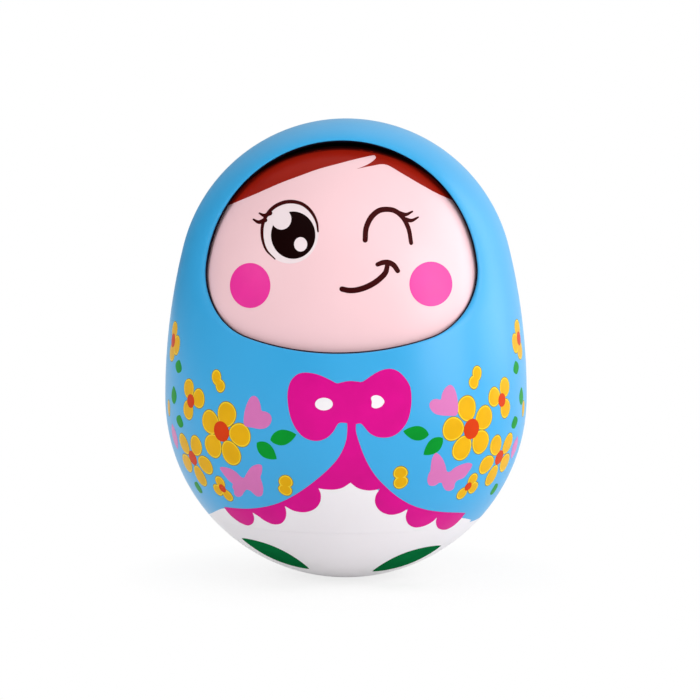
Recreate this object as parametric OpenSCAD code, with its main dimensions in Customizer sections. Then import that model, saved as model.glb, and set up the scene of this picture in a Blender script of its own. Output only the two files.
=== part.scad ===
// Nodding roly poly doll. Two half shells make an egg that stands on a weighted bowl. A domed face
// swings on an axle behind a window in the front shell, and a bell hangs inside the base.
// Millimetres, +Z up, origin at the middle of the flat that the toy stands on, face towards -Y.

/* [Egg] */
// Radius of the round base, half of the toy's width
base_radius = 70; // [64:0.5:78]
// How much smaller the radius of the hood is than that of the base
hood_taper = 5.3; // [3:0.1:8]
// Height from the floor to the top of the hood
total_height = 177; // [165:1:195]
// Radius of the small flat under the base
rest_radius = 8; // [5:0.5:12]
// Wall of the shells and of the bowl
wall = 2.5; // [2:0.1:3.2]
// Height of the parting line between the bowl and the shells
bowl_height = 24; // [21:0.5:28]

/* [Face window] */
// How much smaller the radius of the window's round upper part is than that of the hood
hood_brim = 14.7; // [13:0.1:20]
// Height of the window's centre above the centre of the hood
window_rise = 5.9; // [4:0.1:8]
// Distance from the window's centre down to its lowest point
window_drop = 25.6; // [22:0.1:30]
// Radius of the shallow arc under the chin
window_chin_radius = 110; // [95:1:130]
// Radius of the two lower corners
window_corner_radius = 20; // [12:0.5:24]

/* [Face] */
// Height of the axle below the centre of the hood
axle_drop = 7.3; // [6:0.1:12]
// Gap between the face and the window edge under the chin
face_gap = 1; // [0.7:0.1:2]
// Gap between the sides of the face and the shell
face_side_gap = 7.15; // [6.8:0.05:9]
// Wall of the face
face_wall = 2.2; // [1.8:0.1:3]
// Reach of the face below its axle
face_drop = 31; // [28:0.5:33]
// Reach of the face behind its axle
face_rear = 13.5; // [13:0.5:16]

/* [Axle and bushes] */
// Radius of the axle
axle_radius = 2; // [1.5:0.1:2.5]
// Depth of the axle's ends in the bosses of the shells
axle_grip = 4; // [3:0.1:4.5]
// Radius of the bosses that hold the axle
axle_boss_radius = 6; // [5:0.1:7]
// Outer radius of the bushes
bush_radius = 4; // [3.5:0.1:4.5]
// Radius of the bush flange
bush_flange_radius = 6; // [5:0.1:6.5]
// Thickness of the bush flange
bush_flange = 1.2; // [0.8:0.1:1.5]
// Radius of the hubs on the sides of the face
hub_radius = 12.5; // [12:0.1:12.8]
// Length of the hubs
hub_length = 12.5; // [10:0.5:15]

/* [Nod stop] */
// Angle through which the face nods each way
nod_angle = 10; // [5:1:14]
// Radius of the stop pegs on the rear shell
peg_radius = 1.5; // [1.2:0.1:1.8]
// Distance of the stop pegs from the axle
peg_orbit = 9; // [8.6:0.1:9.6]
// Depth of the slots in the hubs
slot_depth = 2.5; // [1.5:0.1:4]

/* [Head back and weight] */
// Distance of the back plate behind the axle
plate_y = 8; // [6:0.5:9]
// Thickness of the back plate
plate_wall = 3; // [2.5:0.1:3.5]
// Width of the back plate between its opening and the hubs
plate_frame = 24; // [20:0.5:30]
// Distance of the plate's lower edge above that of the face
plate_margin = 1; // [0.5:0.1:3]
// Width of the weight
weight_width = 36; // [34:1:50]
// Depth of the weight from front to back
weight_depth = 17; // [12:0.5:20]
// Height of the weight
weight_height = 14; // [10:0.5:16]
// Distance between the two screws of the weight
weight_screw_spacing = 28; // [20:1:32]
// Radius of the screw posts inside the face
face_post_radius = 4; // [3.6:0.1:4.4]
// Length of the screw posts inside the face
face_post_length = 16; // [12:0.5:20]

/* [Shell joint] */
// Radius of the screw towers of the rear shell
rear_tower_radius = 5; // [4.6:0.1:5.5]
// Radius of the screw towers of the front shell
front_tower_radius = 3.8; // [3.2:0.1:4.5]
// Distance from the inner wall to the middle of a tower
tower_inset = 10; // [8:0.5:12]
// Thickness of the tower floor under a screw head
tower_floor = 6; // [4:0.5:8]
// Gap between the lower towers and the neck of the bowl
tower_gap = 1; // [0.5:0.1:3]
// Length of the locating lip at the seam of the hood
lip_length = 3; // [2:0.5:4]
// Thickness of the locating lip
lip_wall = 1.2; // [1:0.1:1.6]
// Height above the hood's centre where the locating lip starts
lip_rise = 18; // [17:1:30]

/* [Bowl neck] */
// Distance of the neck of the bowl from the inside of the shells
neck_inset = 2.8; // [2:0.1:6]
// Wall of the neck and of the bowl's rim
neck_wall = 2.5; // [2:0.1:3]
// Thickness of the flange on the shells that the neck holds
flange_wall = 3; // [2.4:0.1:4]
// How far the bead on the neck stands out
bead_reach = 2.4; // [1.6:0.1:3]
// Height of the bead
bead_height = 2; // [1.5:0.1:3]

/* [Ballast] */
// Height of the top of the ballast above the floor
ballast_top = 14.5; // [13:0.5:17]
// Height of the seats that carry the ballast
ballast_seat = 9.5; // [8.5:0.1:10.5]
// Distance of the ballast screws from the middle
ballast_screw_orbit = 22; // [20:0.5:24]
// Radius of the bosses that carry the ballast
ballast_boss_radius = 4.5; // [3.6:0.1:5]

/* [Bell] */
// Height of the bracket that carries the bell, as a share of the room between the ballast and the axle
bracket_share = 0.384; // [0.36:0.002:0.42]
// Radius of the bracket's foot
bracket_radius = 26.5; // [26:0.5:30]
// Thickness of the bracket's foot and crossbar
bracket_wall = 3.5; // [3:0.1:4.5]
// Distance of the bracket's posts from the middle
post_offset = 19; // [17.5:0.5:22]
// Width of a bracket post
post_width = 5; // [4:0.5:6]
// Depth of the posts and of the crossbar
post_depth = 10; // [8.5:0.5:11]
// Radius of the bell
bell_radius = 13; // [12.5:0.1:14]
// Height of the bell, as a share of the bracket's height
bell_share = 0.53; // [0.45:0.01:0.55]
// Wall of the bell
bell_wall = 1.2; // [0.9:0.1:1.5]
// How far the lip of the bell stands out
bell_lip = 1; // [0.5:0.1:1.5]
// Radius of the bolt that holds the bell
bolt_radius = 2; // [1.5:0.1:2.4]
// Height of the nut on the bolt
nut_height = 3; // [2.5:0.1:4]
// How far the bolt stands out of its nut
bolt_show = 1; // [0.5:0.1:2]
// Width of the fork at the lower end of the bolt
fork_width = 6.4; // [6:0.1:7]
// Height of the fork, as a share of the bell's height
fork_share = 0.416; // [0.39:0.002:0.46]
// Distance of the clapper's pivot above the lower end of the fork
pivot_rise = 2.7; // [2.4:0.1:3]
// Radius of the clapper's pivot pin
pin_radius = 0.9; // [0.7:0.1:1.1]
// Radius of the clapper's eye
eye_radius = 2.2; // [1.9:0.1:2.4]
// Thickness of the clapper's eye
eye_wall = 2.6; // [2:0.1:2.8]
// Distance from the clapper's pivot to the middle of its ball, as a share of the bell's height
clapper_share = 0.638; // [0.59:0.002:0.68]
// Radius of the clapper's rod
rod_radius = 1; // [0.8:0.1:1.2]
// Radius of the clapper's ball, as a share of the bell's height
ball_share = 0.288; // [0.24:0.002:0.3]

/* [Screws] */
// Radius of the large screws
screw_radius = 1.5; // [1.2:0.1:1.7]
// Radius of the heads of the large screws
screw_head_radius = 2.9; // [2.5:0.1:3.1]
// Height of the heads of the large screws
screw_head = 2; // [1.5:0.1:2.4]
// Length of thread in the part that a screw draws up
screw_grip = 9; // [6:0.5:11]
// Radius of the small screws
small_screw_radius = 1; // [0.8:0.1:1.2]
// Radius of the heads of the small screws
small_head_radius = 2; // [1.7:0.1:2.3]
// Height of the heads of the small screws
small_head = 1.5; // [1.2:0.1:1.8]

/* [Fits] */
// Running clearance of the bushes on the axle and of the clapper on its pin
running_fit = 0.06; // [0.02:0.01:0.09]
// Clearance between pieces that are held still
still_fit = 0.1; // [0.05:0.01:0.2]
// Gap between moving pieces
moving_gap = 0.3; // [0.2:0.05:0.5]
// Gap at the parting lines
seam_gap = 0.15; // [0.1:0.05:0.25]
// Clearance that the swinging weight keeps from the bracket
swing_gap = 2; // [1:0.5:4]

/* [Hidden] */
$fn = 128;

// Cuts run this far past the faces that they open
overrun = 1;

// Bosses, flanges and pegs start in the middle of the wall that carries them
root = wall / 2;

// The egg's outline is three arcs: the base, the side and the hood. The hood's stands out by this much
// where it meets the side's, so that the two arcs cross there
arc_cross = 0.01;
hood_radius = base_radius - hood_taper;
base_z = sqrt(pow(base_radius, 2) - pow(rest_radius, 2));
hood_z = total_height - hood_radius;
hood_lift = hood_z - base_z;
side_radius = (pow(base_radius, 2) + pow(hood_lift, 2) - pow(hood_radius, 2)) / (2 * hood_taper);
side_axis = base_radius - side_radius;
reach = base_radius + overrun;

function blend_z(inset) =
    hood_z + (hood_radius - inset) * hood_lift / (side_radius - hood_radius);

function arc(radius, rise) = sqrt(pow(radius, 2) - pow(rise, 2));

// Radius of the egg at height z, for a surface that lies inset below the outside
function egg_r(z, inset) =
    z < base_z ? arc(base_radius - inset, z - base_z) :
    z < blend_z(inset) ? side_axis + arc(side_radius - inset, z - base_z) :
    arc(hood_radius - inset, z - hood_z);

// The face is a surface of revolution about its axle, so that it keeps its gap as it nods
axle_z = hood_z - axle_drop;
window_radius = hood_radius - hood_brim;
window_z = hood_z + window_rise;
chin_z = window_z - window_drop;
face_radius = norm([egg_r(chin_z, wall), axle_z - chin_z]) - face_gap;
face_pole = egg_r(axle_z, wall) - face_side_gap;
face_arc = (pow(face_pole, 2) + pow(face_radius, 2)) / (2 * face_radius);
face_arc_axis = face_radius - face_arc;
hub_face = face_arc;
hub_inner = hub_face - hub_length;
axle_boss_face = hub_face + bush_flange + moving_gap;
axle_end = axle_boss_face + axle_grip;

// Screw posts inside the face, at these angles from straight up, grown a little into its wall
post_angles = [40, 105];
post_embed = face_wall / 4;
face_post_orbit = face_arc - face_wall - face_post_radius + post_embed;
face_posts = [
    for (side = [-1, 1], angle = post_angles)
    let (half = cos(angle) < 0 ? -1 : 1)
    [side * face_post_orbit * sin(angle), half * face_arc_axis + face_post_orbit * cos(angle)]
];

// The weight hangs as low as the bracket of the bell lets it swing
plate_rear = plate_y + plate_wall;
plate_opening = hub_inner - plate_frame;
weight_rear = plate_rear + weight_depth;
bracket_height = bracket_share * (axle_z - ballast_top);
bracket_top = ballast_top + bracket_height;
swing_reach = axle_z - bracket_top - swing_gap;
weight_low = -arc(swing_reach, weight_rear);
weight_mid = weight_low + weight_height / 2;

// Neck of the bowl, and the flange of the shells that it holds
neck_radius = egg_r(bowl_height, wall) - neck_inset;
shell_low = bowl_height + seam_gap;
flange_top = shell_low + flange_wall;
bead_low = flange_top + seam_gap;
neck_top = bead_low + bead_height;

// Two pairs of screw towers, one above the bowl's neck and one under the face
tower_heights = [
    neck_top + rear_tower_radius + tower_gap,
    axle_z - face_drop - 2 * rear_tower_radius
];
towers = [
    for (side = [-1, 1], z = tower_heights)
    [side * (egg_r(z, wall) - tower_inset), z]
];

// Bell, bolt and clapper, from the bracket's crossbar down
bell_height = bell_share * bracket_height;
fork_height = fork_share * bell_height;
clapper_length = clapper_share * bell_height;
ball_radius = ball_share * bell_height;
crossbar_low = bracket_top - bracket_wall;
crown_low = crossbar_low - bell_wall;
fork_low = crown_low - fork_height;
pivot_z = fork_low + pivot_rise;
bolt_top = bracket_top + nut_height + bolt_show;
ballast_angles = [90, 210, 330];

// Band of the half plane between two heights
module band(low, high) {
    polygon([[0, low], [reach, low], [reach, high], [0, high]]);
}

// Half outline of the egg, for a surface that lies inset below the outside
module egg_half(inset) {
    blend = blend_z(inset);
    intersection() {
        translate([0, base_z]) circle(base_radius - inset);
        band(inset, base_z);
    }
    intersection() {
        translate([side_axis, base_z]) circle(side_radius - inset);
        band(base_z, blend);
    }
    intersection() {
        translate([0, hood_z - arc_cross]) circle(hood_radius - inset + arc_cross);
        band(hood_z, total_height);
    }
}

module egg(inset) {
    rotate_extrude() egg_half(inset);
}

// Rod along X, from x0 to x1
module x_rod(x0, x1, radius) {
    translate([x0, 0, 0]) rotate([0, 90, 0]) cylinder(h = x1 - x0, r = radius);
}

// Rod along Y, from y0 to y1
module y_rod(y0, y1, radius) {
    translate([0, y0, 0]) rotate([-90, 0, 0]) cylinder(h = y1 - y0, r = radius);
}

// Pan-head screw whose head sits on z = 0 and whose shank points down
module pan_screw(radius, length, head_radius, head) {
    recess_width = radius / 2;
    translate([0, 0, -length]) cylinder(h = length, r = radius);
    difference() {
        cylinder(h = head, r = head_radius);
        for (turn = [0, 90])
            rotate([0, 0, turn])
                translate([-radius, -recess_width / 2, head / 2])
                    cube([2 * radius, recess_width, head]);
    }
}

// Window outline in x and z: a round top, a shallow chin and round corners
module window_outline() {
    chin_centre = chin_z + window_chin_radius;
    span = chin_centre - window_z;
    to_top = window_radius - window_corner_radius;
    to_chin = window_chin_radius - window_corner_radius;
    corner_rise = (pow(to_top, 2) - pow(to_chin, 2) + pow(span, 2)) / (2 * span);
    corner = [arc(to_top, corner_rise), window_z + corner_rise];
    top_touch = [corner[0], corner_rise] * window_radius / to_top + [0, window_z];
    chin_touch = [corner[0], corner_rise - span] * window_chin_radius / to_chin + [0, chin_centre];
    side = window_radius + overrun;
    low = chin_z - overrun;
    high = window_z + side;
    intersection() {
        translate([0, window_z]) circle(window_radius);
        translate([0, chin_centre]) circle(window_chin_radius);
        polygon([
            top_touch, chin_touch, [chin_touch[0], low], [-chin_touch[0], low],
            [-chin_touch[0], chin_touch[1]], [-top_touch[0], top_touch[1]],
            [-side, top_touch[1]], [-side, high], [side, high], [side, top_touch[1]]
        ]);
    }
    for (mirrored = [-1, 1])
        translate([mirrored * corner[0], corner[1]]) circle(window_corner_radius);
}

// Turns a half outline into the front half (-1) or the rear half (1) of a round body
module half_turn(side) {
    rotate([0, 0, side < 0 ? 180 : 0]) rotate_extrude(angle = 180) children();
}

// Wall of the egg above the bowl, with the flange that the neck of the bowl holds
module shell_wall(side) {
    half_turn(side)
        intersection() {
            translate([0, shell_low]) square([reach, total_height]);
            union() {
                difference() {
                    egg_half(0);
                    egg_half(wall);
                }
                intersection() {
                    egg_half(root);
                    translate([neck_radius + still_fit, shell_low]) square([reach, flange_wall]);
                }
            }
        }
}

// Screw towers and axle bosses of one half shell, ending inside its wall
module shell_bosses(side, tower_radius) {
    intersection() {
        half_turn(side) egg_half(root);
        union() {
            for (place = towers)
                translate([place[0], 0, place[1]]) y_rod(-reach, reach, tower_radius);
            translate([0, 0, axle_z]) {
                x_rod(-reach, -axle_boss_face, axle_boss_radius);
                x_rod(axle_boss_face, reach, axle_boss_radius);
            }
        }
    }
}

module axle_bore() {
    bore_end = axle_end + still_fit;
    translate([0, 0, axle_z]) x_rod(-bore_end, bore_end, axle_radius + still_fit);
}

module front_shell() {
    color("deepskyblue")
        difference() {
            union() {
                shell_wall(-1);
                shell_bosses(-1, front_tower_radius);
            }
            rotate([90, 0, 0]) linear_extrude(reach) window_outline();
            axle_bore();
            for (place = towers)
                translate([place[0], 0, place[1]])
                    y_rod(-screw_grip - overrun, overrun, screw_radius + still_fit);
        }
}

// Lip on the rear shell that slips inside the front shell along the seam of the hood
module locating_lip() {
    outer = arc(hood_radius - wall, lip_length) - still_fit;
    inner = outer - lip_wall;
    rooted = hood_radius - root;
    translate([0, 0, hood_z])
        intersection() {
            rotate([-90, 0, 0])
                rotate_extrude()
                    polygon([
                        [inner, -lip_length], [outer, -lip_length], [outer, 0],
                        [rooted, 0], [rooted, lip_length], [inner, lip_length]
                    ]);
            translate([-reach, -reach, lip_rise]) cube(2 * reach);
        }
}

// Pegs on the rear shell that run in the slots of the hubs
module stop_pegs() {
    peg_face = hub_face - slot_depth + moving_gap;
    intersection() {
        egg(root);
        for (side = [0, 180])
            translate([0, peg_orbit, axle_z]) rotate([0, side, 0]) x_rod(peg_face, reach, peg_radius);
    }
}

module rear_shell() {
    well_radius = screw_head_radius + moving_gap;
    color("deepskyblue")
        difference() {
            union() {
                shell_wall(1);
                shell_bosses(1, rear_tower_radius);
                locating_lip();
                stop_pegs();
            }
            axle_bore();
            for (place = towers)
                translate([place[0], 0, place[1]]) {
                    y_rod(-overrun, reach, screw_radius + still_fit);
                    y_rod(tower_floor, reach, well_radius);
                }
        }
}

module shell_screws() {
    color("silver")
        for (place = towers)
            translate([place[0], tower_floor, place[1]])
                rotate([-90, 0, 0])
                    pan_screw(screw_radius, tower_floor + screw_grip, screw_head_radius, screw_head);
}

module base_bowl() {
    rim_low = bowl_height - neck_wall;
    boss_low = base_z - arc(base_radius - root, ballast_screw_orbit);
    color("white")
        difference() {
            union() {
                rotate_extrude()
                    union() {
                        intersection() {
                            square([reach, bowl_height]);
                            difference() {
                                egg_half(0);
                                egg_half(wall);
                            }
                        }
                        intersection() {
                            egg_half(0);
                            translate([neck_radius - neck_wall, rim_low]) square([reach, neck_wall]);
                        }
                        translate([neck_radius - neck_wall, rim_low])
                            square([neck_wall, neck_top - rim_low]);
                        translate([neck_radius - neck_wall, bead_low])
                            square([neck_wall + bead_reach, bead_height]);
                    }
                intersection() {
                    egg(root);
                    for (angle = ballast_angles)
                        rotate([0, 0, angle])
                            translate([ballast_screw_orbit, 0, 0])
                                cylinder(h = ballast_seat, r = ballast_boss_radius);
                }
            }
            for (angle = ballast_angles)
                rotate([0, 0, angle])
                    translate([ballast_screw_orbit, 0, boss_low])
                        cylinder(h = ballast_seat, r = screw_radius + still_fit);
        }
}

module head_axle() {
    color("silver")
        translate([0, 0, axle_z]) x_rod(-axle_end, axle_end, axle_radius);
}

// Flanged bush on the side towards +X
module bush() {
    color("ivory")
        translate([0, 0, axle_z])
            difference() {
                union() {
                    x_rod(hub_inner, hub_face, bush_radius);
                    x_rod(hub_face, hub_face + bush_flange, bush_flange_radius);
                }
                x_rod(hub_inner - overrun, axle_end, axle_radius + running_fit);
            }
}

module left_bush() {
    mirror([1, 0, 0]) bush();
}

module right_bush() {
    bush();
}

// Solid of revolution about the axle, for a surface that lies inset below the face
module face_solid(inset) {
    rotate([0, 90, 0])
        rotate_extrude()
            intersection() {
                translate([face_arc_axis, 0]) circle(face_arc - inset);
                translate([0, -reach]) square([reach, 2 * reach]);
            }
}

// Slot in a hub, long enough for the peg at both ends of the nod
module stop_slot() {
    half_width = peg_radius + moving_gap;
    half_angle = nod_angle + asin(half_width / peg_orbit);
    tip = 2 * peg_orbit;
    translate([hub_face - slot_depth, 0, 0])
        rotate([90, 0, 90])
            linear_extrude(slot_depth + overrun)
                intersection() {
                    difference() {
                        circle(peg_orbit + half_width);
                        circle(peg_orbit - half_width);
                    }
                    polygon([[0, 0], tip * [cos(half_angle), -sin(half_angle)],
                        tip * [cos(half_angle), sin(half_angle)]]);
                }
}

module face_shell() {
    color("pink")
        translate([0, 0, axle_z])
            difference() {
                union() {
                    intersection() {
                        difference() {
                            face_solid(0);
                            face_solid(face_wall);
                        }
                        translate([-reach, -reach, -face_drop])
                            cube([2 * reach, reach + face_rear, reach + face_drop]);
                    }
                    for (side = [0, 180])
                        rotate([0, 0, side]) x_rod(hub_inner, hub_face, hub_radius);
                    intersection() {
                        face_solid(face_wall / 2);
                        for (post = face_posts)
                            translate([post[0], 0, post[1]])
                                y_rod(plate_y - face_post_length, plate_y, face_post_radius);
                    }
                }
                for (post = face_posts)
                    translate([post[0], plate_y, post[1]])
                        y_rod(-screw_grip - overrun, overrun, small_screw_radius + still_fit);
                for (side = [0, 1])
                    mirror([side, 0, 0]) {
                        x_rod(hub_inner - overrun, hub_face + overrun, bush_radius + still_fit);
                        stop_slot();
                    }
            }
}

module head_back() {
    plate_low = plate_margin - face_drop;
    tail_top = max(plate_low, weight_low + weight_height) + plate_wall;
    color("ivory")
        translate([0, 0, axle_z])
            difference() {
                union() {
                    intersection() {
                        face_solid(face_wall + moving_gap);
                        translate([-reach, plate_y, plate_low]) cube([2 * reach, plate_wall, reach]);
                    }
                    translate([-weight_width / 2, plate_y, weight_low])
                        cube([weight_width, plate_wall, tail_top - weight_low]);
                }
                translate([0, 0, face_arc_axis])
                    y_rod(plate_y - overrun, plate_rear + overrun, plate_opening);
                x_rod(-reach, -hub_inner + moving_gap, hub_radius + moving_gap);
                x_rod(hub_inner - moving_gap, reach, hub_radius + moving_gap);
                for (post = face_posts)
                    translate([post[0], 0, post[1]])
                        y_rod(plate_y - overrun, plate_rear + overrun, small_screw_radius + still_fit);
                weight_screw_places()
                    y_rod(plate_y - overrun, plate_rear + overrun, screw_radius + still_fit);
            }
}

module weight_screw_places() {
    for (side = [-1, 1])
        translate([side * weight_screw_spacing / 2, 0, weight_mid]) children();
}

module head_screws() {
    color("silver")
        translate([0, 0, axle_z])
            for (post = face_posts)
                translate([post[0], plate_rear, post[1]])
                    rotate([-90, 0, 0])
                        pan_screw(small_screw_radius, plate_wall + screw_grip, small_head_radius, small_head);
}

module head_weight() {
    color("slategray")
        translate([0, 0, axle_z])
            difference() {
                translate([-weight_width / 2, plate_rear, weight_low])
                    cube([weight_width, weight_depth, weight_height]);
                weight_screw_places()
                    y_rod(plate_rear - overrun, plate_rear + screw_grip + overrun, screw_radius + still_fit);
            }
}

module head_weight_screws() {
    color("silver")
        translate([0, 0, axle_z])
            weight_screw_places()
                translate([0, plate_y, 0])
                    rotate([90, 0, 0])
                        pan_screw(screw_radius, plate_wall + screw_grip, screw_head_radius, screw_head);
}

module ballast_weight() {
    color("dimgray")
        difference() {
            rotate_extrude()
                intersection() {
                    egg_half(wall + moving_gap);
                    square([reach, ballast_top]);
                }
            for (angle = ballast_angles)
                rotate([0, 0, angle])
                    translate([ballast_screw_orbit, 0, 0]) {
                        cylinder(h = ballast_seat, r = ballast_boss_radius + moving_gap);
                        cylinder(h = ballast_top + overrun, r = screw_radius + still_fit);
                    }
        }
}

module ballast_screws() {
    foot_top = ballast_top + bracket_wall;
    grip = ballast_seat - base_z + arc(base_radius - wall, ballast_screw_orbit);
    color("silver")
        for (angle = ballast_angles)
            rotate([0, 0, angle])
                translate([ballast_screw_orbit, 0, foot_top])
                    pan_screw(screw_radius, foot_top - ballast_seat + grip, screw_head_radius, screw_head);
}

module bell_bracket() {
    post_outer = post_offset + post_width / 2;
    color("ivory")
        difference() {
            union() {
                translate([0, 0, ballast_top]) cylinder(h = bracket_wall, r = bracket_radius);
                for (side = [-1, 1])
                    translate([side * post_offset - post_width / 2, -post_depth / 2, ballast_top])
                        cube([post_width, post_depth, bracket_height]);
                translate([-post_outer, -post_depth / 2, crossbar_low])
                    cube([2 * post_outer, post_depth, bracket_wall]);
            }
            translate([0, 0, crossbar_low - overrun])
                cylinder(h = bracket_wall + 2 * overrun, r = bolt_radius + still_fit);
            for (angle = ballast_angles)
                rotate([0, 0, angle])
                    translate([ballast_screw_orbit, 0, ballast_top - overrun])
                        cylinder(h = bracket_wall + 2 * overrun, r = screw_radius + still_fit);
        }
}

// Half outline of the bell, for a surface that lies inset below the outside
module bell_half(inset) {
    radius = bell_radius - inset;
    crown = bell_height - inset;
    dome_z = bell_height - bell_radius;
    intersection() {
        square([reach, crown]);
        union() {
            intersection() {
                translate([0, dome_z + bell_wall]) circle(radius);
                translate([0, dome_z + bell_wall]) square([reach, bell_height]);
            }
            square([radius, dome_z + bell_wall]);
        }
    }
}

module bell() {
    lip_height = 2 * bell_wall;
    color("goldenrod")
        translate([0, 0, crossbar_low - bell_height])
            rotate_extrude()
                difference() {
                    union() {
                        bell_half(0);
                        square([bell_radius + bell_lip, lip_height]);
                    }
                    translate([0, -overrun]) square([bell_radius - bell_wall, overrun]);
                    bell_half(bell_wall);
                    square([bolt_radius + still_fit, bell_height + overrun]);
                }
}

module bell_bolt() {
    slot_width = eye_wall + 2 * moving_gap;
    shank_low = crown_low - bell_wall;
    color("silver")
        difference() {
            union() {
                translate([0, 0, shank_low]) cylinder(h = bolt_top - shank_low, r = bolt_radius);
                translate([-fork_width / 2, -fork_width / 2, fork_low])
                    cube([fork_width, fork_width, fork_height]);
            }
            translate([-fork_width, -slot_width / 2, fork_low - overrun])
                cube([2 * fork_width, slot_width, overrun + pivot_rise + eye_radius + moving_gap]);
            translate([0, 0, pivot_z]) y_rod(-fork_width, fork_width, pin_radius + still_fit);
        }
}

module bell_nut() {
    nut_radius = 2 * bolt_radius;
    color("silver")
        translate([0, 0, bracket_top])
            difference() {
                cylinder(h = nut_height, r = nut_radius, $fn = 6);
                translate([0, 0, -overrun])
                    cylinder(h = nut_height + 2 * overrun, r = bolt_radius + still_fit);
            }
}

module clapper_pin() {
    color("silver")
        translate([0, 0, pivot_z]) y_rod(-fork_width / 2, fork_width / 2, pin_radius);
}

module clapper_arm() {
    color("silver")
        translate([0, 0, pivot_z])
            difference() {
                union() {
                    y_rod(-eye_wall / 2, eye_wall / 2, eye_radius);
                    translate([0, 0, -clapper_length - ball_radius])
                        cylinder(h = clapper_length + ball_radius - pin_radius, r = rod_radius);
                }
                y_rod(-eye_wall, eye_wall, pin_radius + running_fit);
            }
}

module clapper_ball() {
    color("darkslategray")
        translate([0, 0, pivot_z - clapper_length])
            difference() {
                sphere(ball_radius);
                translate([0, 0, -2 * ball_radius])
                    cylinder(h = 4 * ball_radius, r = rod_radius + still_fit);
            }
}

front_shell();
rear_shell();
base_bowl();
shell_screws();
head_axle();
left_bush();
right_bush();
face_shell();
head_back();
head_screws();
head_weight();
head_weight_screws();
ballast_weight();
ballast_screws();
bell_bracket();
bell();
bell_bolt();
bell_nut();
clapper_pin();
clapper_arm();
clapper_ball();
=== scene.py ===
from math import acos, asin, atan2, cos, hypot, log, pi, radians, sin, sqrt

import bpy
import numpy as np
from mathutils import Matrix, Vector
from mathutils.geometry import delaunay_2d_cdt
from mathutils.kdtree import KDTree


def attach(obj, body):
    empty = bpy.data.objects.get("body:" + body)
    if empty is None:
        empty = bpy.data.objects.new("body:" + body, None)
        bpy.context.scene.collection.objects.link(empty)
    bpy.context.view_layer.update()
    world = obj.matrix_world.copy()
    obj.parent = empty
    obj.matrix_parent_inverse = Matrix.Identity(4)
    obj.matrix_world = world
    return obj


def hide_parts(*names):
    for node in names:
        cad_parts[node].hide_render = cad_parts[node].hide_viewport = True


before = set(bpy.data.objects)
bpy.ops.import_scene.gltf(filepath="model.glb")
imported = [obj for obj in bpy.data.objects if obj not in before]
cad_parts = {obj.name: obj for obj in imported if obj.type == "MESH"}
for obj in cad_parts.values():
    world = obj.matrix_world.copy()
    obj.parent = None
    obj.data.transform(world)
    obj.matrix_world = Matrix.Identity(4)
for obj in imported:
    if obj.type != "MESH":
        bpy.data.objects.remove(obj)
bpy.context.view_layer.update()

# Lengths are in millimetres up to mesh_object(), which makes metres of them. The studio is in metres.
# The toy faces -Y. An outline with pixel coordinates is placed on the toy by rays from the camera.

# Sizes of the egg, as in part.scad

BASE_R = 70.0  # sphere under the widest line
HOOD_R = 64.7  # sphere of the hood
HEIGHT = 177.0
REST_R = 8.0  # flat the toy stands on
WALL = 2.5
PARTING_Z = 24.0  # line between the bowl and the half shells
INSET = 0.1  # of the visible skin inside the CAD solid, which leaves room for ink

BASE_Z = sqrt(BASE_R ** 2 - REST_R ** 2)
HOOD_Z = HEIGHT - HOOD_R
LIFT = HOOD_Z - BASE_Z
SIDE_R = (BASE_R ** 2 + LIFT ** 2 - HOOD_R ** 2) / (2 * (BASE_R - HOOD_R))
SIDE_C = BASE_R - SIDE_R
BLEND = asin(LIFT / (SIDE_R - HOOD_R))
BLEND_S = SIDE_R * BLEND
TOP_S = BLEND_S + HOOD_R * (pi / 2 - BLEND)

# lowest point of the CAD window in the hood
WINDOW_RISE, WINDOW_DROP = 5.9, 25.6
CHIN_Z = HOOD_Z + WINDOW_RISE - WINDOW_DROP

# face: an arc turned about the axle
AXLE_DROP = 7.3
AXLE_Z = HOOD_Z - AXLE_DROP
FACE_GAP = 1.0
FACE_SIDE_GAP = 7.15
FACE_DROP = 31.0
FACE_REAR = 13.5
FACE_WALL = 2.2

PER_METRE = 1000.0
END_MARGIN = 0.001  # of heights from the ends of the egg
CDT_CLOSE, SAME_POINT = 1e-7, 1e-6  # distances at which points count as one


def columns(*values):
    """Points from their coordinates."""
    return np.column_stack(values)


def smoothstep(t):
    """Blend from 0 to 1 with level ends."""
    t = np.clip(t, 0, 1)
    return t * t * (3 - 2 * t)


def circle(n):
    """Angles of n points round a circle."""
    return np.arange(n) / n * 2 * pi


def quarter(n):
    """Angles of n steps through a quarter turn, without the first."""
    return np.arange(1, n + 1) / n * pi / 2


def side_radius(z, inset):
    """Radius of the egg's side at a height between the base and the hood."""
    return SIDE_C + sqrt((SIDE_R - inset) ** 2 - (z - BASE_Z) ** 2)


FACE_R = hypot(side_radius(CHIN_Z, WALL), AXLE_Z - CHIN_Z) - FACE_GAP
FACE_POLE = side_radius(AXLE_Z, WALL) - FACE_SIDE_GAP
FACE_ARC = (FACE_POLE ** 2 + FACE_R ** 2) / (2 * FACE_R)
FACE_OFF = FACE_R - FACE_ARC

# wells in the rear shell, over the four shell screws
WELL_R = 3.2
WELL_FLOOR = 6.0
WELL_INSET = 10.0  # of the screws from the inside of the shell
WELL_UNDER_FACE = 10.0
LOW_WELL_Z = 35.3
HIGH_WELL_Z = AXLE_Z - FACE_DROP - WELL_UNDER_FACE
WELLS = [(sqrt((BASE_R - WALL) ** 2 - (z - BASE_Z) ** 2) - WELL_INSET, z)
         for z in (LOW_WELL_Z, HIGH_WELL_Z)]

# Camera

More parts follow.
